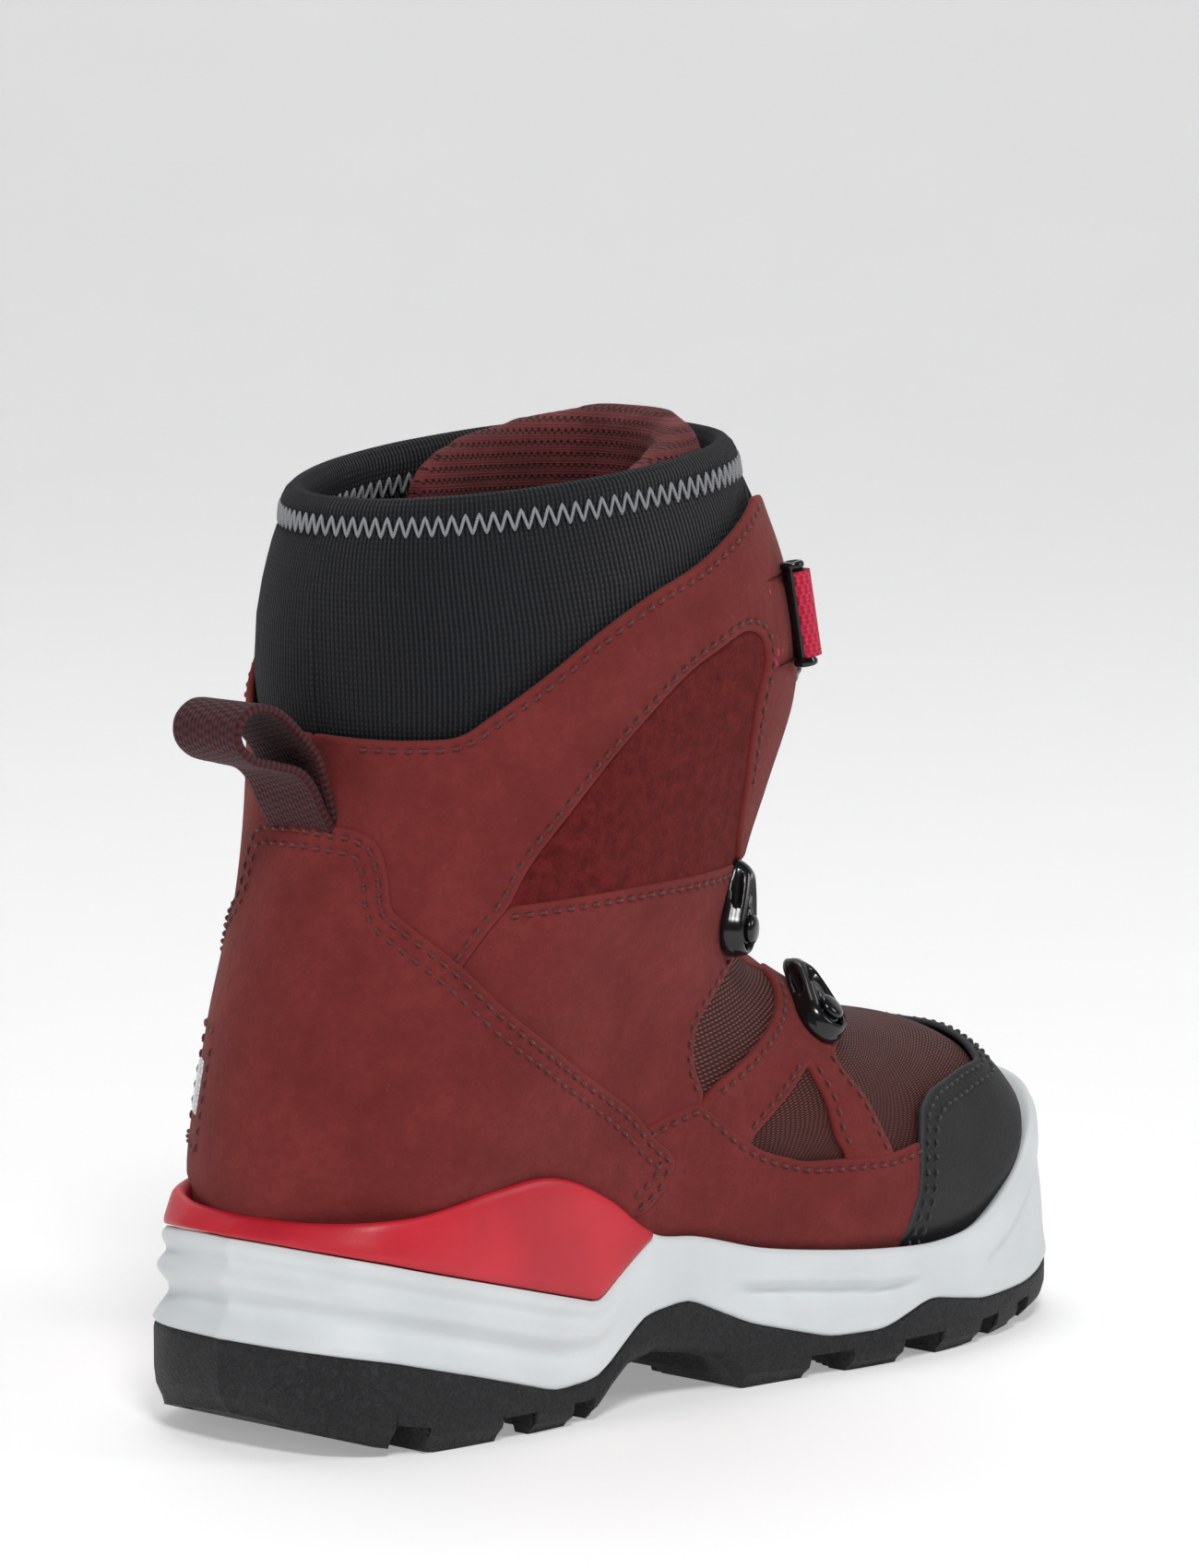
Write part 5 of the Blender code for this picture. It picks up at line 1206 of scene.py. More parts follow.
def cuff_guide(side, sign, look):
    """The tube that carries the lace down the edge of the throat, and the webbing that holds it."""
    seat = frame_at(2.78, sign * 0.31, (3.28, sign * 0.31), (0.3, 0.02))
    seat = (seat[0] - 1.2 * seat[3],) + seat[1:]
    forward = math.copysign(1, seat[2] @ (skin(2.78, sign * 0.2) - skin(2.78, sign * 0.275)))
    tube_at, centre, half, radius = 4.6 * forward, 2.9, 9.6, 1.9
    angles = np.arange(32) * np.pi / 16
    profile = [(-half, 1.0), (-half, 1.75), (-half + 0.3, 2.15), (-half + 0.9, 2.2), (-half + 1.4, radius)]
    profile += [(u, radius) for u in np.linspace(-half + 2, half - 2, 6)]
    profile += [(-u, r) for u, r in profile[4::-1]]
    rings = [placed(seat, [(u, tube_at + r * math.cos(a), centre + r * math.sin(a)) for a in angles])
             for u, r in profile + [(half - 4, 0.98), (-half + 4, 0.98)]]
    points, faces = loft(rings + rings[:1], (False, False))
    count = len(points) - 32
    tube = add_mesh("cuff_tube_" + side + "_fine", points[:count], [[i % count for i in f] for f in faces],
                    gloss_material(look))
    dressed(tube, "black_plastic", "cuff_tube_" + side)
    inner, outer, reach = 2.2, 3.1, 6.4
    arc = np.linspace(-0.5 * math.pi, 0.9 * math.pi, 28)
    section = [(tube_at + forward * outer * math.cos(a), centre + outer * math.sin(a)) for a in arc]
    section += [(tube_at + forward * inner * math.cos(a), centre + inner * math.sin(a)) for a in arc[::-1]]
    section += [(v, centre - inner) for v in np.linspace(tube_at - forward, -reach * forward, 8)]
    section += [(v, centre - outer) for v in np.linspace(-reach * forward, tube_at - forward, 8)]
    section = np.array(section)
    length = np.concatenate([[0], np.cumsum(np.linalg.norm(np.diff(section, axis=0), axis=1))])
    length[len(arc) : 2 * len(arc)] = length[: len(arc)][::-1]
    rings, cloth = [], []
    for u in np.concatenate([[-7.8, -7.6], np.linspace(-7, 7, 9), [7.6, 7.8]]):
        rings.append(placed(seat, [(u, v, h) for v, h in section]))
        cloth.append(np.column_stack([np.full(len(section), u), length]))
    points, faces = loft(rings)
    cloth = np.concatenate(cloth + [[(0, 0), (0, 0)]])
    web = add_mesh("cuff_webbing_" + side + "_fine", points, faces, webbing_material(look, "crimson"),
                   cloth=cloth)
    dressed(web, "red_webbing", "cuff_webbing_" + side)
    legs = []
    for v in (-2.2, -4.6):
        line = placed(seat, [(u, v * forward, centre - inner + 0.05) for u in np.linspace(-6.6, 6.6, 40)])
        up = seat[3]
        line = spaced(line, 0.46)
        arch = np.array([-0.2, 0.15, 0.25, 0.15, -0.2])
        legs += [line[i : i + 5] + arch[:, None] * up for i in range(0, len(line) - 5, 6)]
    dressed(threads("webbing_thread_" + side, legs, 0.24, thread_material(look, "crimson")), "red_webbing")


def build_hardware(look):
    """The lace guides and the cuff tubes on both sides."""
    for side, sign in (("lateral", -1), ("medial", 1)):
        lace_guide("ankle_guide_" + side, (6.5, sign * 0.29), (5.6, sign * 0.28), 18, 10.5, 0.6, look)
        lace_guide("instep_guide_" + side, (9.75, sign * 0.21), (8.9, sign * 0.115), 20, 11, 0.4, look)
        cuff_guide(side, sign, look)


def build_dial(look):
    """The lacing dial on the instep shield, its knob's grip cut with fine flutes."""
    turning = next(j for j in frame["record"]["behaviour"]["joints"] if j["name"] == "dial_turn")
    origin = np.array(turning["pos_m"]) / MM + (HEEL_BACK, 0, 0)
    up = np.array(turning["axis"]) / np.linalg.norm(turning["axis"])
    down = skin(4, 0) - origin
    down -= up * (down @ up)
    down /= np.linalg.norm(down)
    seat = (origin, down, np.cross(up, down), up)
    black, r = gloss_material(look), 11.5
    base = turned("dial_housing", [(0, 0), (r + 0.5, 0), (r + 0.5, 0.8), (r, 1.3), (r, 5.1), (r - 0.3, 5.4),
                                   (r - 1.6, 5.4), (r - 1.6, 1.6), (1.9, 1.6), (1.9, 8), (0, 8)],
                  seat, black, 72)
    for angle in (150, 210):
        u, v = math.cos(math.radians(angle)), math.sin(math.radians(angle))
        route = [(k * u, k * v, 3.2) for k in (r - 3.5, r - 1.5, r, r + 2)]
        carved(base, bent_tube("port", seat, route, 1.0, black, 12))
    dressed(base, "black_plastic", "dial_base")

    def flutes(a, radius, h):
        return -0.45 * (0.5 + 0.5 * math.cos(a * 36)) ** 2 if radius > r and 5.9 < h < 11.6 else 0.0

    knob = turned("dial_grip", [(2.2, 4.2), (4.3, 4.2), (4.3, 5.7), (r + 0.7, 5.7), (r + 0.95, 6.1),
                                (r + 0.9, 7.5), (r + 0.7, 9.6), (r + 0.3, 10.7), (r - 0.5, 11.6),
                                (r - 1.5, 11.85), (8.5, 11.8), (8.4, 11.6), (8.4, 9.6), (4.3, 9.6),
                                (4.3, 8.6), (2.2, 8.6)],
                  seat, black, 216, flutes)
    dressed(knob, "black_plastic", "dial_knob", body="knob")
    cap = turned("dial_top", [(0, 9.9), (8.0, 9.9), (8.1, 10.1), (8.1, 11.3), (7.9, 11.7), (7.3, 12.05),
                              (5, 12.3), (2.6, 12.35), (2.4, 12.2), (1.2, 12.15), (0, 12.15)],
                 seat, red_plastic_material(look), 64)
    dressed(cap, "red_plastic", "dial_cap", body="knob")


# ---------------------------------------------------------------- materials
class Sock:
    """A node socket or number that adds, multiplies and compares like a value."""

    def __init__(self, tree, socket):
        self.tree, self.socket = tree, socket

    def math(self, kind, *others, flip=False):
        node = self.tree.nodes.new("ShaderNodeMath")
        node.operation = kind
        values = [self, *others]
        for place, value in zip(node.inputs, reversed(values) if flip else values):
            feed(self.tree, place, value)
        return Sock(self.tree, node.outputs[0])

    def __add__(self, other):
        return self.math("ADD", other)

    def __radd__(self, other):
        return self.math("ADD", other, flip=True)

    def __sub__(self, other):
        return self.math("SUBTRACT", other)

    def __rsub__(self, other):
        return self.math("SUBTRACT", other, flip=True)

    def __mul__(self, other):
        return self.math("MULTIPLY", other)

    def __rmul__(self, other):
        return self.math("MULTIPLY", other, flip=True)

    def __truediv__(self, other):
        return self.math("DIVIDE", other)

    def __pow__(self, other):
        return self.math("POWER", other)

    def __neg__(self):
        return self.math("MULTIPLY", -1.0)

    def wave(self):
        """0 to 1 and back over each whole number."""
        return (self * (2 * math.pi)).math("COSINE") * 0.5 + 0.5

    def step(self, low, high):
        """Rises smoothly from 0 at `low` to 1 at `high`."""
        node = self.tree.nodes.new("ShaderNodeMapRange")
        node.interpolation_type = "SMOOTHSTEP"
        for name, value in (("Value", self), ("From Min", low), ("From Max", high)):
            feed(self.tree, node.inputs[name], value)
        return Sock(self.tree, node.outputs[0])


def feed(tree, place, value):
    """Links a socket, or sets its value."""
    if isinstance(value, Sock):
        tree.links.new(value.socket, place)
    elif place.type == "RGBA":
        place.default_value = (*value, 1)
    else:
        place.default_value = value


class Look:
    """One material under construction: places on the piece, patterns, and the shader they feed."""

    def __init__(self, name, **uniform):
        self.material = bpy.data.materials.new(name)
        self.material.use_nodes = True
        self.tree = self.material.node_tree
        self.shader = self.tree.nodes["Principled BSDF"]
        for socket, value in uniform.items():
            feed(self.tree, self.shader.inputs[socket.replace("_", " ")], value)

    def node(self, kind, settings=None, output=0, **inputs):
        node = self.tree.nodes.new("ShaderNode" + kind)
        for key, value in (settings or {}).items():
            setattr(node, key, value)
        for key, value in inputs.items():
            feed(self.tree, node.inputs[key.replace("_", " ")], value)
        return Sock(self.tree, node.outputs[output])

    def place(self):
        """Millimetres in the model's frame."""
        geometry = self.node("TexCoord", output="Object")
        return self.node("VectorMath", {"operation": "SCALE"}, Vector=geometry, Scale=1000.0)

    def lengths(self, name="cloth"):
        """Millimetres (across, along) on the cloth."""
        pattern = self.node("Attribute", {"attribute_name": name}, "Vector")
        node = self.tree.nodes.new("ShaderNodeSeparateXYZ")
        feed(self.tree, node.inputs[0], pattern)
        return [Sock(self.tree, node.outputs[i]) for i in range(2)]

    def edge(self):
        return self.node("Attribute", {"attribute_name": "edge"}, "Fac")

    def split(self, vector):
        node = self.tree.nodes.new("ShaderNodeSeparateXYZ")
        feed(self.tree, node.inputs[0], vector)
        return [Sock(self.tree, node.outputs[i]) for i in range(3)]

    def joined(self, x, y, z=0.0):
        return self.node("CombineXYZ", X=x, Y=y, Z=z)

    def noise(self, size, detail=3.0, rough=0.5, vector=None, warp=0.0):
        """0 to 1 noise whose lumps are about `size` millimetres."""
        return self.node("TexNoise", {"normalize": True}, "Fac", Vector=vector or self.place(),
                         Scale=1.0 / size, Detail=detail, Roughness=rough, Distortion=warp)

    def cells(self, size, vector=None, feature="F1", output="Distance"):
        return self.node("TexVoronoi", {"feature": feature}, output, Vector=vector or self.place(),
                         Scale=1.0 / size)

    def mix(self, factor, first, second):
        node = self.tree.nodes.new("ShaderNodeMix")
        node.data_type = "RGBA"
        for index, value in ((0, factor), (6, first), (7, second)):
            feed(self.tree, node.inputs[index], value)
        return Sock(self.tree, node.outputs[2])

    def bumped(self, height, depth, before=None):
        """A bump of `depth` millimetres where height goes from 0 to 1."""
        inputs = {"Strength": 1.0, "Distance": depth * MM, "Height": height}
        if before:
            inputs["Normal"] = before
        return self.node("Bump", None, "Normal", **inputs)

    def done(self, **links):
        for socket, value in links.items():
            feed(self.tree, self.shader.inputs[socket.replace("_", " ")], value)
        return self.material


MADE = {}


def once(build):
    """A material is made at its first use and shared after that."""
    def shared(look, *kind):
        key = (build.__name__, *kind)
        if key not in MADE:
            MADE[key] = build(look, *kind)
        return MADE[key]

    return shared


@once
def nubuck_material(look):
    """Burgundy nubuck: brushed patches, pale specks, a fine nap, and paler rubbed edges."""
    m = Look("burgundy_nubuck", Specular_IOR_Level=0.2, Sheen_Weight=0.12, Sheen_Roughness=0.5,
             Sheen_Tint=(0.9, 0.5, 0.45))
    patches = m.noise(14.0, 5.0, 0.7).step(0.2, 0.85)
    brushed = m.noise(1.7, 5.0, 0.8).step(0.32, 0.68)
    nap = m.noise(0.55, 3.0, 0.75)
    specks = m.noise(0.6, 3.0, 0.85).step(0.62, 0.8)
    colour = m.mix(patches, look.nubuck_dark, look.nubuck_light)
    colour = m.mix(brushed * 0.55, colour, look.nubuck_dark)
    colour = m.mix(specks * 0.5, colour, look.nubuck_speck)
    edge = m.edge()
    rubbed = (1.0 - edge.step(0.1, 0.9)) * (0.45 + 0.4 * brushed)
    colour = m.mix(rubbed * 0.5, colour, look.nubuck_light)
    height = nap * 0.55 + m.noise(1.9, 3.0, 0.6) * 0.9 + m.noise(7.0, 2.0, 0.5) * 1.6
    channel = 1.0 - ((edge - look.stitch_edge) * 1.3).math("ABSOLUTE").step(0.0, 1.0)
    return m.done(Base_Color=colour, Roughness=0.78 + nap * 0.18,
                  Normal=m.bumped(height - channel * 0.55, look.nap_depth))


@once
def suede_material(look):
    """Darker suede with a longer, furrier nap."""
    m = Look("burgundy_suede", Specular_IOR_Level=0.12, Sheen_Weight=0.15, Sheen_Roughness=0.45,
             Sheen_Tint=(0.8, 0.3, 0.28))
    fur = m.noise(0.5, 4.0, 0.8)
    patches = m.noise(2.6, 5.0, 0.8).step(0.3, 0.72)
    colour = m.mix(patches, look.suede_dark, look.suede_light)
    colour = m.mix(m.noise(0.75, 2.0, 0.85).step(0.6, 0.8) * 0.5, colour, look.nubuck_light)
    return m.done(Base_Color=colour, Roughness=0.9, Normal=m.bumped(fur + m.noise(2.2) * 0.8, 0.34))


@once
def weave_material(look):
    """Open mesh: plump knots in staggered rows with dark holes between."""
    m = Look("maroon_mesh", Specular_IOR_Level=0.35)
    u, v = m.lengths()
    rows = v / look.mesh_rise
    shift = (rows.math("FLOOR") * 0.5)
    across = (u / look.mesh_pitch + shift).wave()
    along = (rows + 0.5).wave()
    knots = ((across * 0.7 + 0.3) * along).step(0.08, 0.75)
    drift = m.noise(14.0, 2.0)
    colour = m.mix(knots, look.mesh_dark, look.mesh_light)
    colour = m.mix(m.noise(0.3, 2.0, 0.8).step(0.5, 0.85) * 0.4 * knots, colour, look.nubuck_speck)
    colour = m.mix(drift.step(0.3, 0.8) * 0.25, colour, look.mesh_dark)
    return m.done(Base_Color=colour, Roughness=0.72 - knots * 0.1,
                  Normal=m.bumped(knots + m.noise(0.25) * 0.25, 0.5))


@once
def spacer_material(look):
    """Thick spacer mesh: burgundy knit with staggered rows of small dark holes."""
    m = Look("burgundy_spacer", Specular_IOR_Level=0.3, Sheen_Weight=0.12, Sheen_Roughness=0.5,
             Sheen_Tint=(0.9, 0.5, 0.5))
    u, v = m.lengths()
    wobble = (m.noise(3.0) - 0.5) * 0.5
    rows = (v + wobble) / look.spacer_pitch
    columns = (u + wobble) / (look.spacer_pitch * 1.15) + rows.math("FLOOR") * 0.5
    hole = (columns.wave() * rows.wave()).step(0.35, 0.7)
    fine = (u / 0.42).wave() * (v / 0.5).wave()
    colour = m.mix(m.noise(9.0).step(0.3, 0.7), look.spacer_dark, look.spacer_light)
    colour = m.mix(fine.step(0.2, 0.9) * 0.2, colour, look.nubuck_speck)
    colour = m.mix(hole * 0.92, colour, look.mesh_dark)
    return m.done(Base_Color=colour, Roughness=0.85, Normal=m.bumped(fine * 0.2 - hole, 0.8))


@once
def knit_material(look):
    """Charcoal rib knit over neoprene: fine upright ribs of small stitches."""
    m = Look("charcoal_rib_knit", Specular_IOR_Level=0.22, Sheen_Weight=0.05, Sheen_Roughness=0.4)
    u, v = m.lengths()
    ribs = (u / look.rib_pitch).wave()
    stitches = (v / 0.62 + ribs * 0.25).wave()
    knit = ribs * 0.75 + stitches * ribs * 0.45
    flecks = m.noise(0.5, 3.0, 0.8)
    colour = m.mix(knit.step(0.1, 1.1), look.knit_dark, look.knit_light)
    colour = m.mix(flecks.step(0.55, 0.85) * 0.35, colour, look.knit_fleck)
    return m.done(Base_Color=colour, Roughness=0.82,
                  Normal=m.bumped(knit + flecks * 0.35 + m.noise(5.0) * 0.7, 0.42))


@once
def fleece_material(look):
    """Dark fleece with a tangled pile."""
    m = Look("charcoal_fleece", Specular_IOR_Level=0.15, Sheen_Weight=0.6, Sheen_Roughness=0.4)
    pile = m.noise(1.1, 4.0, 0.75, warp=1.5)
    colour = m.mix(pile.step(0.3, 0.75), look.fleece_dark, look.fleece_light)
    return m.done(Base_Color=colour, Roughness=0.95, Normal=m.bumped(pile + m.noise(3.5) * 1.2, 0.9))


@once
def foam_material(look):
    """Pale moulded foam: satin skin, faint clouding and scattered scuffs of moulding dirt."""
    m = Look("pale_foam", Specular_IOR_Level=0.4, Subsurface_Weight=0.06, Subsurface_Scale=0.004)
    cloud = m.noise(26.0, 3.0)
    fine = m.noise(0.9, 2.0, 0.7)
    colour = m.mix(cloud.step(0.3, 0.75), look.foam_shade, look.foam)
    scuffs = m.noise(2.4, 4.0, 0.75).step(0.7, 0.86)
    colour = m.mix(scuffs * 0.16, colour, look.foam_dirt)
    return m.done(Base_Color=colour, Roughness=0.42 + fine * 0.16,
                  Normal=m.bumped(fine * 0.5 + m.noise(6.0) * 0.8, 0.08))


@once
def red_plastic_material(look):
    """Satin red plastic with a faint moulded grain."""
    m = Look("satin_red_plastic", Specular_IOR_Level=0.45, Coat_Weight=0.08, Coat_Roughness=0.3)
    colour = m.mix(m.noise(20.0).step(0.3, 0.75), look.red_dark, look.red)
    grain = m.noise(0.5, 3.0, 0.7)
    return m.done(Base_Color=colour, Roughness=0.38 + grain * 0.14,
                  Normal=m.bumped(grain * 0.7 + m.noise(5.0), 0.06))


@once
def rubber_material(look):
    """Black rubber with an eroded leather-like grain on its walls, darker in the grain's low spots and paler
    on its ridges.
    """
    m = Look("grained_black_rubber", Specular_IOR_Level=0.45)
    place = m.place()
    grain = m.noise(1.35, 3.0, 0.6, vector=place, warp=1.1)
    ridges = 1.0 - ((grain - 0.5) * 7.0).math("ABSOLUTE").step(0.0, 1.0)
    fine = m.noise(0.45, 3.0, 0.7)
    # Colour follows the grain's relief: darker in its low spots, paler on its raised ridges.
    colour = m.mix(ridges * 0.6 + fine * 0.3, look.rubber_dark, look.rubber_light)
    return m.done(Base_Color=colour, Roughness=0.5 + fine * 0.25,
                  Normal=m.bumped(ridges + fine * 0.4, 0.3))


@once
def coat_material(look):
    """Charcoal toe guard: leather under a matt rubbery coat with a pebbled grain."""
    m = Look("coated_toe", Specular_IOR_Level=0.4)
    pebbles = m.cells(0.95).step(0.1, 0.62)
    fine = m.noise(0.3, 3.0, 0.7)
    cloud = m.noise(16.0)
    colour = m.mix(cloud.step(0.3, 0.75), look.coat_dark, look.coat_light)
    rubbed = 1.0 - m.edge().step(0.05, 0.8)
    colour = m.mix(rubbed * 0.35, colour, look.knit_fleck)
    return m.done(Base_Color=colour, Roughness=0.52 + fine * 0.2,
                  Normal=m.bumped(pebbles * 0.5 + fine * 0.5 + m.noise(5.0) * 1.4, 0.13))


WEBBING_COLOURS = {"maroon": ((0.022, 0.003, 0.004), (0.1, 0.014, 0.018)),
                   "crimson": ((0.42, 0.008, 0.03), (0.86, 0.03, 0.1))}


@once
def webbing_material(look, kind):
    """Ribbed webbing: bold cross ribs of paired yarns."""
    dark, light = WEBBING_COLOURS[kind]
    m = Look(kind + "_webbing", Specular_IOR_Level=0.3, Sheen_Weight=0.06)
    u, v = m.lengths()
    yarns = (u / look.yarn_pitch).wave()
    half = (u / (2 * look.yarn_pitch)).math("FLOOR") * 0.5
    ribs = (v / look.rib_rise + half).wave()
    weave = ribs * 0.7 + yarns * 0.4
    fibre = m.noise(0.22, 3.0, 0.8)
    colour = m.mix(weave.step(0.2, 1.05) * 0.85 + fibre * 0.15, dark, light)
    return m.done(Base_Color=colour, Roughness=0.62 + fibre * 0.2,
                  Normal=m.bumped(weave + fibre * 0.3, 0.42))


THREADS = {"red": ((0.075, 0.009, 0.009), (0.17, 0.03, 0.027)),
           "black": ((0.01, 0.01, 0.011), (0.05, 0.05, 0.055)),
           "grey": ((0.16, 0.165, 0.18), (0.42, 0.43, 0.45)),
           "crimson": ((0.5, 0.012, 0.05), (0.85, 0.05, 0.13))}


@once
def thread_material(look, kind):
    """Twisted sewing thread."""
    dark, light = THREADS[kind]
    m = Look(kind + "_thread", Specular_IOR_Level=0.4, Sheen_Weight=0.2)
    x, y, z = m.split(m.place())
    ply = ((x + y * 0.7 + z * 1.3) / 0.34).wave()
    return m.done(Base_Color=m.mix(ply, dark, light), Roughness=0.5 + ply * 0.2, Normal=m.bumped(ply, 0.06))


@once
def gloss_material(look):
    """Glossy black moulded plastic with faint flow marks and handling scuffs."""
    m = Look("gloss_black_plastic", Specular_IOR_Level=0.5)
    scuffs = m.noise(0.7, 5.0, 0.8).step(0.62, 0.8)
    flow = m.noise(6.0, 2.0)
    colour = m.mix(scuffs * 0.3, (0.006, 0.006, 0.007), (0.03, 0.03, 0.033))
    return m.done(Base_Color=colour, Roughness=0.14 + scuffs * 0.22 + flow * 0.08,
                  Normal=m.bumped(flow * 0.5 + m.noise(0.5) * 0.1, 0.05))


@once
def steel_material(look):
    """Brushed spring steel."""
    m = Look("spring_steel")
    brushed = m.noise(0.5, 3.0, 0.7, vector=m.joined(*[part * k for part, k in zip(m.split(m.place()),
                                                                                (0.1, 1.0, 1.0))]))
    colour = m.mix(brushed, (0.34, 0.34, 0.35), (0.6, 0.6, 0.61))
    return m.done(Base_Color=colour, Metallic=1.0, Roughness=0.25 + brushed * 0.2,
                  Normal=m.bumped(brushed, 0.03))


@once
def board_material(look):
    """Pressed fibre board."""
    m = Look("fibre_board", Specular_IOR_Level=0.2)
    fibres = m.noise(0.8, 4.0, 0.8)
    colour = m.mix(fibres.step(0.3, 0.75), (0.2, 0.15, 0.09), (0.42, 0.34, 0.23))
    return m.done(Base_Color=colour, Roughness=0.9, Normal=m.bumped(fibres, 0.15))


@once
def reflector_material(look):
    """Silver-grey reflective tape with a fine honeycomb."""
    m = Look("reflective_tape", Specular_IOR_Level=0.5, Coat_Weight=0.5, Coat_Roughness=0.15)
    comb = m.cells(0.8, feature="DISTANCE_TO_EDGE").step(0.02, 0.12)
    colour = m.mix(comb, (0.34, 0.35, 0.37), (0.72, 0.73, 0.75))
    return m.done(Base_Color=colour, Roughness=0.3 + comb * 0.1, Normal=m.bumped(comb, 0.05))


@once
def floor_material(look):
    """A matt pale floor with a little light of its own."""
    m = Look("studio_floor", Specular_IOR_Level=0.2, Emission_Color=(1.0, 1.0, 1.0), Emission_Strength=0.3)
    colour = m.mix(m.noise(60.0), look.floor_shade, look.floor)
    return m.done(Base_Color=colour, Roughness=0.7, Normal=m.bumped(m.noise(1.5), 0.03))


CARRIED = {"board": board_material, "spring_steel": steel_material, "rivet_steel": steel_material,
           "black_plastic": gloss_material}


# ---------------------------------------------------------------- settings, operators and panel
def colour_property(name, description, value):
    """A colour setting."""
    return bpy.props.FloatVectorProperty(name=name, description=description, subtype="COLOR", size=3,
                                         min=0, max=1, default=value)


def length_property(name, description, value):
    """A length setting in millimetres."""
    return bpy.props.FloatProperty(name=name + " (mm)", description=description, default=value)


class BootSettings(bpy.types.PropertyGroup):
    leather: length_property("Leather", "Thickness of the upper's leather", 1.4)
    stitch_pitch: length_property("Stitch pitch", "Length of one stitch with its gap", 2.8)
    stitch_edge: length_property("Stitch edge", "Distance of the first stitch row from a cut edge", 1.7)
    thread_radius: length_property("Thread", "Radius of the sewing thread", 0.3)
    zigzag_pitch: length_property("Zigzag pitch", "Length of one zigzag on the cuff's rim", 2.5)
    collar_round: length_property("Cuff girth", "Length round the cuff, which holds whole ribs", 261.0)
    rib_pitch: length_property("Rib pitch", "Distance between the cuff's ribs", 0.87)
    mesh_pitch: length_property("Mesh pitch", "Distance between the mesh's knots along a row", 1.25)
    mesh_rise: length_property("Mesh rise", "Distance between the mesh's rows", 0.95)
    spacer_pitch: length_property("Spacer pitch", "Distance between the tongue's holes", 2.1)
    yarn_pitch: length_property("Yarn pitch", "Width of one webbing yarn", 0.9)
    rib_rise: length_property("Webbing rise", "Distance between the webbing's cross ribs", 1.3)
    nap_depth: length_property("Nap depth", "Depth of the nubuck's nap and lumps", 0.22)
    flute_depth: length_property("Flute depth", "Depth of the foam's flutes at the heel", 1.5)
    groove_depth: length_property("Groove depth", "Depth of the grooves between the lugs", 3.2)
    puff: length_property("Puff", "How far the tongue's padding may swell", 2.5)
    voxel: length_property("Padding cell", "Cell size of the tongue's padding", 2.6)
    pressure: bpy.props.FloatProperty(name="Pressure", description="Pressure in the tongue's padding",
                                      default=4)
    nubuck_dark: colour_property("Nubuck, dark", "Brushed-down nubuck", (0.135, 0.0165, 0.0155))
    nubuck_mid: colour_property("Nubuck", "Middle tone of the nubuck", (0.168, 0.023, 0.0215))
    nubuck_light: colour_property("Nubuck, light", "Brushed-up nubuck", (0.225, 0.034, 0.031))
    nubuck_speck: colour_property("Nubuck specks", "Pale fibres on the nubuck", (0.4, 0.12, 0.105))
    suede_dark: colour_property("Suede, dark", "Low nap of the suede", (0.085, 0.007, 0.007))
    suede_light: colour_property("Suede, light", "High nap of the suede", (0.17, 0.017, 0.016))
    mesh_dark: colour_property("Mesh gaps", "Holes of the mesh", (0.022, 0.004, 0.003))
    mesh_light: colour_property("Mesh yarn", "Yarn of the mesh", (0.27, 0.07, 0.055))
    spacer_dark: colour_property("Spacer, dark", "Low yarns of the tongue's mesh", (0.12, 0.019, 0.021))
    spacer_light: colour_property("Spacer, light", "High yarns of the tongue's mesh", (0.2, 0.035, 0.038))
    knit_dark: colour_property("Knit, dark", "Gaps between the ribs", (0.004, 0.0045, 0.0055))
    knit_light: colour_property("Knit, light", "Face of the ribs", (0.026, 0.028, 0.033))
    knit_fleck: colour_property("Knit flecks", "Pale fibres in the knit", (0.075, 0.08, 0.09))
    fleece_dark: colour_property("Fleece, dark", "Depths of the fleece", (0.02, 0.02, 0.023))
    fleece_light: colour_property("Fleece, light", "Tips of the fleece", (0.07, 0.07, 0.077))
    foam: colour_property("Foam", "Pale midsole foam", (0.76, 0.79, 0.8))
    foam_shade: colour_property("Foam, shaded", "Cooler clouds in the foam", (0.68, 0.715, 0.725))
    foam_dirt: colour_property("Foam scuffs", "Scuffs on the foam", (0.42, 0.43, 0.43))
    red: colour_property("Red", "Stabiliser and dial cap", (0.64, 0.016, 0.034))
    red_dark: colour_property("Red, deep", "Deeper clouds in the red", (0.5, 0.009, 0.023))
    rubber_dark: colour_property("Rubber, dark", "Low spots of the rubber", (0.004, 0.004, 0.005))
    rubber_light: colour_property("Rubber, light", "Worn ridges of the rubber", (0.022, 0.022, 0.025))
    coat_dark: colour_property("Toe coat, dark", "Coated toe", (0.008, 0.008, 0.009))
    coat_light: colour_property("Toe coat, light", "Lighter clouds of the toe coat", (0.015, 0.0145, 0.016))
    floor: colour_property("Floor", "Pale studio floor", (0.86, 0.86, 0.86))
    floor_shade: colour_property("Floor, shaded", "Faint clouds in the floor", (0.82, 0.82, 0.82))
    light: bpy.props.FloatProperty(name="Light (W)", description="Power of the main lamp", default=10.5)


def dress_carried(look):
    """Gives every CAD piece that still shows the material of its slot."""
    for part in frame["record"]["subparts"]:
        maker = CARRIED.get(part["material_slot"])
        node = frame["nodes"][part["node"]]
        if maker:
            for slot in node.material_slots:
                slot.material = maker(look)


def build_sole(look):
    """The rubber, the foam, the stabiliser and the finish of the hidden stiffeners."""
    dressed(build_outsole(look), "sole_rubber", "outsole")
    dressed(build_midsole(look), "white_foam", "midsole")
    dressed(build_band(look), "red_plastic", "heel_stabilizer")
    dress_carried(look)


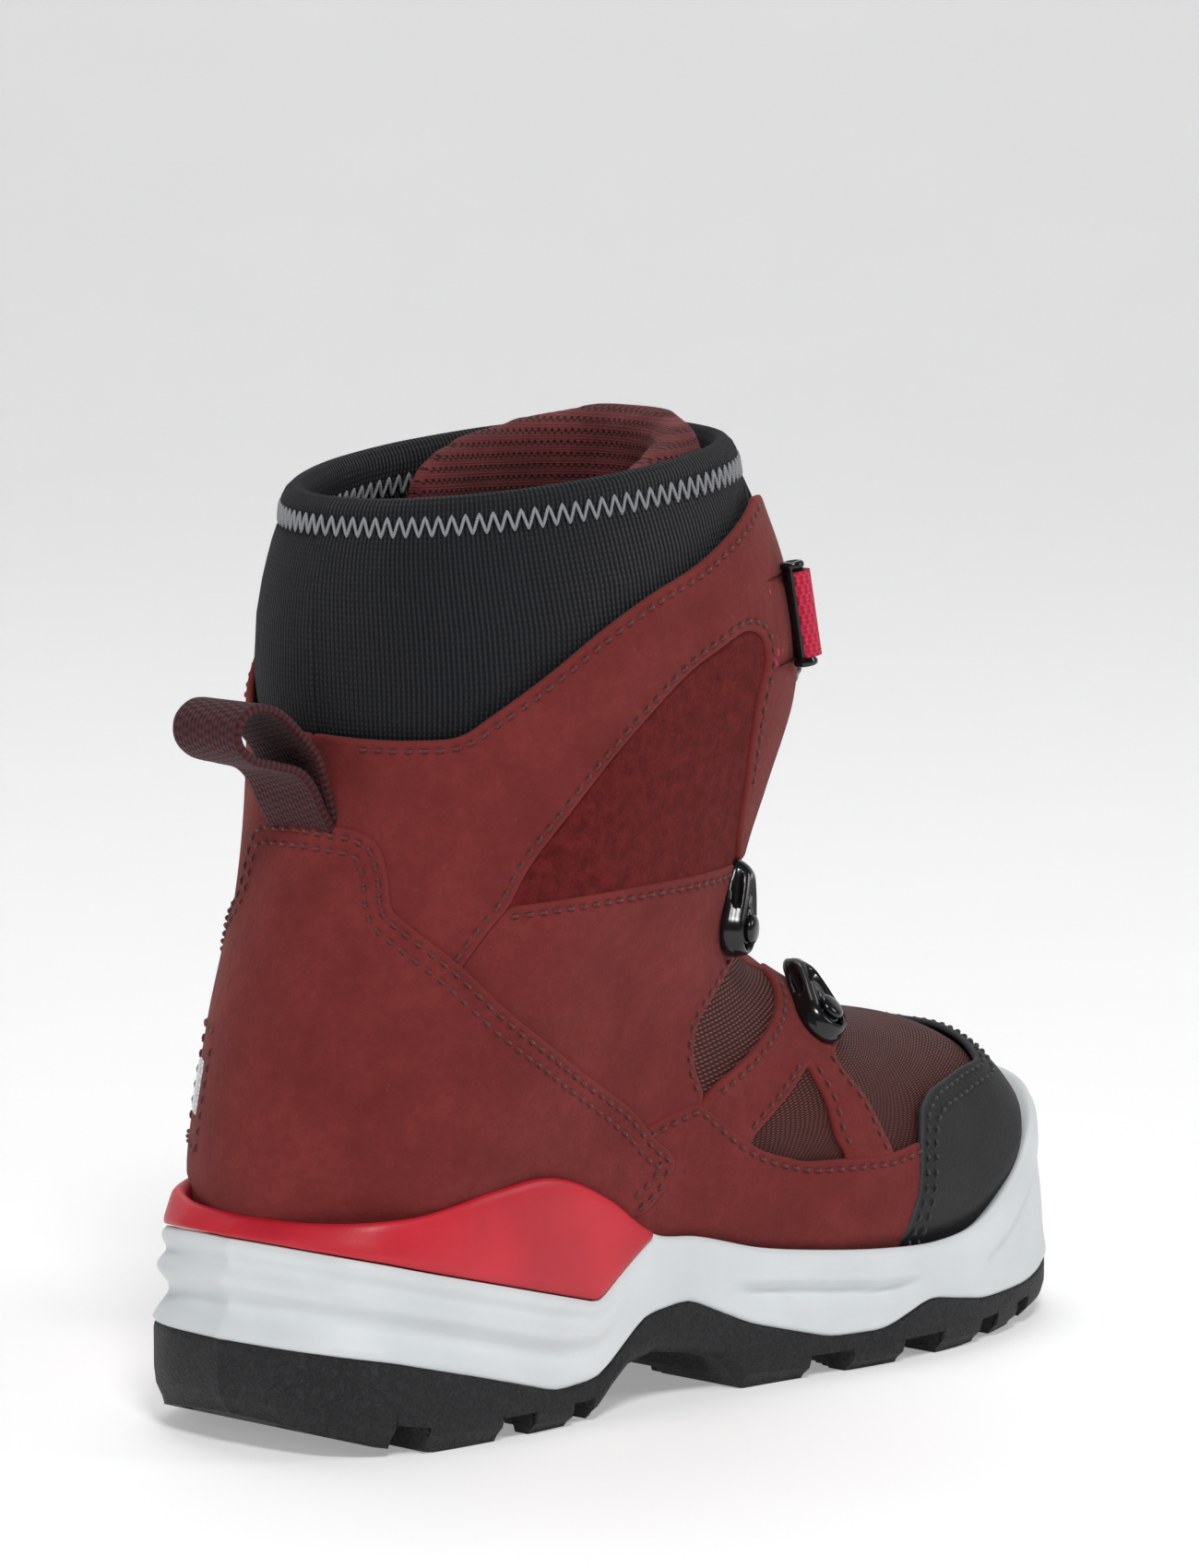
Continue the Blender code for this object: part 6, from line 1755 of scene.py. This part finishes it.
def area_lamp(name, place, aim, size, power):
    """A round soft lamp aimed at a point."""
    data = bpy.data.lights.new(name, "AREA")
    data.shape, data.size, data.energy = "DISK", size, power
    lamp = bpy.data.objects.new(name, data)
    bpy.context.scene.collection.objects.link(lamp)
    lamp.location = place
    lamp.rotation_euler = (Vector(aim) - Vector(place)).to_track_quat("-Z", "Y").to_euler()
    return lamp


def build_stage(look):
    """A pale floor that curves up behind the boot, soft lamps, and the camera."""
    half, rise = 2.2, 1.6
    outline = [(-half, 0.0)] + [(half - rise * 0.4 + rise * 0.4 * math.sin(a), rise * 0.4 * (1 - math.cos(a)))
                                for a in np.linspace(0, math.pi / 2, 12)] + [(half, 3.0)]
    rings = [[(u, side, v) for u, v in outline] for side in (-3.2, 3.2)]
    turn = Matrix.Rotation(math.radians(42.5), 4, "Z")
    points = [turn @ Vector(p) for ring in rings for p in ring]
    count = len(outline)
    faces = [[i, i + 1, i + 1 + count, i + count] for i in range(count - 1)]
    mesh = bpy.data.meshes.new("studio_floor")
    mesh.from_pydata(points, [], faces)
    mesh.materials.append(floor_material(look))
    mesh.polygons.foreach_set("use_smooth", [True] * len(mesh.polygons))
    floor = bpy.data.objects.new("studio_floor", mesh)
    bpy.context.scene.collection.objects.link(floor)
    aim = (0.06, 0, 0.08)
    area_lamp("key_lamp", (-0.75, -1.0, 1.35), aim, 0.42, look.light * 1.5)
    area_lamp("fill_lamp", (-1.3, 0.35, 0.6), aim, 0.8, look.light * 0.28)
    area_lamp("toe_lamp", (0.95, -1.1, 0.75), aim, 0.5, look.light * 0.42)
    area_lamp("top_lamp", (0.35, 0.45, 1.6), aim, 0.9, look.light * 0.65)
    world = bpy.context.scene.world or bpy.data.worlds.new("studio")
    bpy.context.scene.world = world
    world.use_nodes = True
    world.node_tree.nodes["Background"].inputs[0].default_value = (0.93, 0.95, 1, 1)
    world.node_tree.nodes["Background"].inputs[1].default_value = 0.13
    data = bpy.data.cameras.new("camera")
    data.lens, data.sensor_width, data.sensor_fit = 175.9, 36, "AUTO"
    data.shift_x, data.shift_y = 0.0229, 0.1003
    data.clip_end = 20
    camera = bpy.data.objects.new("camera", data)
    bpy.context.scene.collection.objects.link(camera)
    camera.location = (-0.960, -0.9335, 0.299)
    view = Vector((0.7286, 0.6668, -0.1564))
    camera.rotation_euler = view.to_track_quat("-Z", "Y").to_euler()
    bpy.context.scene.camera = camera
    bpy.context.scene.view_settings.view_transform = "Standard"


class BOOT_OT_sole(bpy.types.Operator):
    """Moulds the outsole, the foam and the stabiliser"""

    bl_idname = "boot.sole"
    bl_label = "Sole"

    def execute(self, context):
        build_sole(context.scene.boot)
        return {"FINISHED"}


class BOOT_OT_lining(bpy.types.Operator):
    """Lays the fleece lining and the footbed"""

    bl_idname = "boot.lining"
    bl_label = "Lining"

    def execute(self, context):
        build_lining(context.scene.boot)
        return {"FINISHED"}


class BOOT_OT_tongue(bpy.types.Operator):
    """Pads the tongue"""

    bl_idname = "boot.tongue"
    bl_label = "Tongue"

    def execute(self, context):
        build_tongue(context.scene.boot)
        return {"FINISHED"}


class BOOT_OT_collar(bpy.types.Operator):
    """Knits the cuff and its zigzag"""

    bl_idname = "boot.collar"
    bl_label = "Cuff"

    def execute(self, context):
        build_collar(context.scene.boot)
        return {"FINISHED"}


class BOOT_OT_leather(bpy.types.Operator):
    """Cuts the leather, suede and mesh pieces"""

    bl_idname = "boot.leather"
    bl_label = "Leather"

    def execute(self, context):
        build_leather(context.scene.boot)
        return {"FINISHED"}


class BOOT_OT_stitches(bpy.types.Operator):
    """Sews the seams"""

    bl_idname = "boot.stitches"
    bl_label = "Stitches"

    def execute(self, context):
        build_stitches(context.scene.boot)
        return {"FINISHED"}


class BOOT_OT_loop(bpy.types.Operator):
    """Makes the pull loop and the reflective tab"""

    bl_idname = "boot.loop"
    bl_label = "Pull loop"

    def execute(self, context):
        build_loop(context.scene.boot)
        return {"FINISHED"}


class BOOT_OT_hardware(bpy.types.Operator):
    """Moulds the lace guides and tubes"""

    bl_idname = "boot.hardware"
    bl_label = "Lace hardware"

    def execute(self, context):
        build_hardware(context.scene.boot)
        return {"FINISHED"}


class BOOT_OT_dial(bpy.types.Operator):
    """Builds the lacing dial"""

    bl_idname = "boot.dial"
    bl_label = "Dial"

    def execute(self, context):
        build_dial(context.scene.boot)
        return {"FINISHED"}


class BOOT_OT_stage(bpy.types.Operator):
    """Sets the floor, lamps and camera"""

    bl_idname = "boot.stage"
    bl_label = "Stage"

    def execute(self, context):
        build_stage(context.scene.boot)
        return {"FINISHED"}


STEPS = [BOOT_OT_sole, BOOT_OT_lining, BOOT_OT_tongue, BOOT_OT_collar, BOOT_OT_leather,
         BOOT_OT_stitches, BOOT_OT_loop, BOOT_OT_hardware, BOOT_OT_dial, BOOT_OT_stage]


class BOOT_PT_panel(bpy.types.Panel):
    bl_label = "Winter Hiking Boot"
    bl_space_type = "VIEW_3D"
    bl_region_type = "UI"
    bl_category = "Boot"

    def draw(self, context):
        for name in BootSettings.__annotations__:
            self.layout.prop(context.scene.boot, name)
        for operator in STEPS:
            self.layout.operator(operator.bl_idname)


CLASSES = [BootSettings, *STEPS, BOOT_PT_panel]


def register():
    """Adds the classes and the scene's settings."""
    for cls in CLASSES:
        bpy.utils.register_class(cls)
    bpy.types.Scene.boot = bpy.props.PointerProperty(type=BootSettings)


def unregister():
    """Takes the settings and the classes away again."""
    del bpy.types.Scene.boot
    for cls in reversed(CLASSES):
        bpy.utils.unregister_class(cls)


def main():
    """Makes the boot and its stage."""
    register()
    for operator in STEPS:
        getattr(bpy.ops.boot, operator.bl_idname.split(".")[1])()


if __name__ == "__main__":
    main()
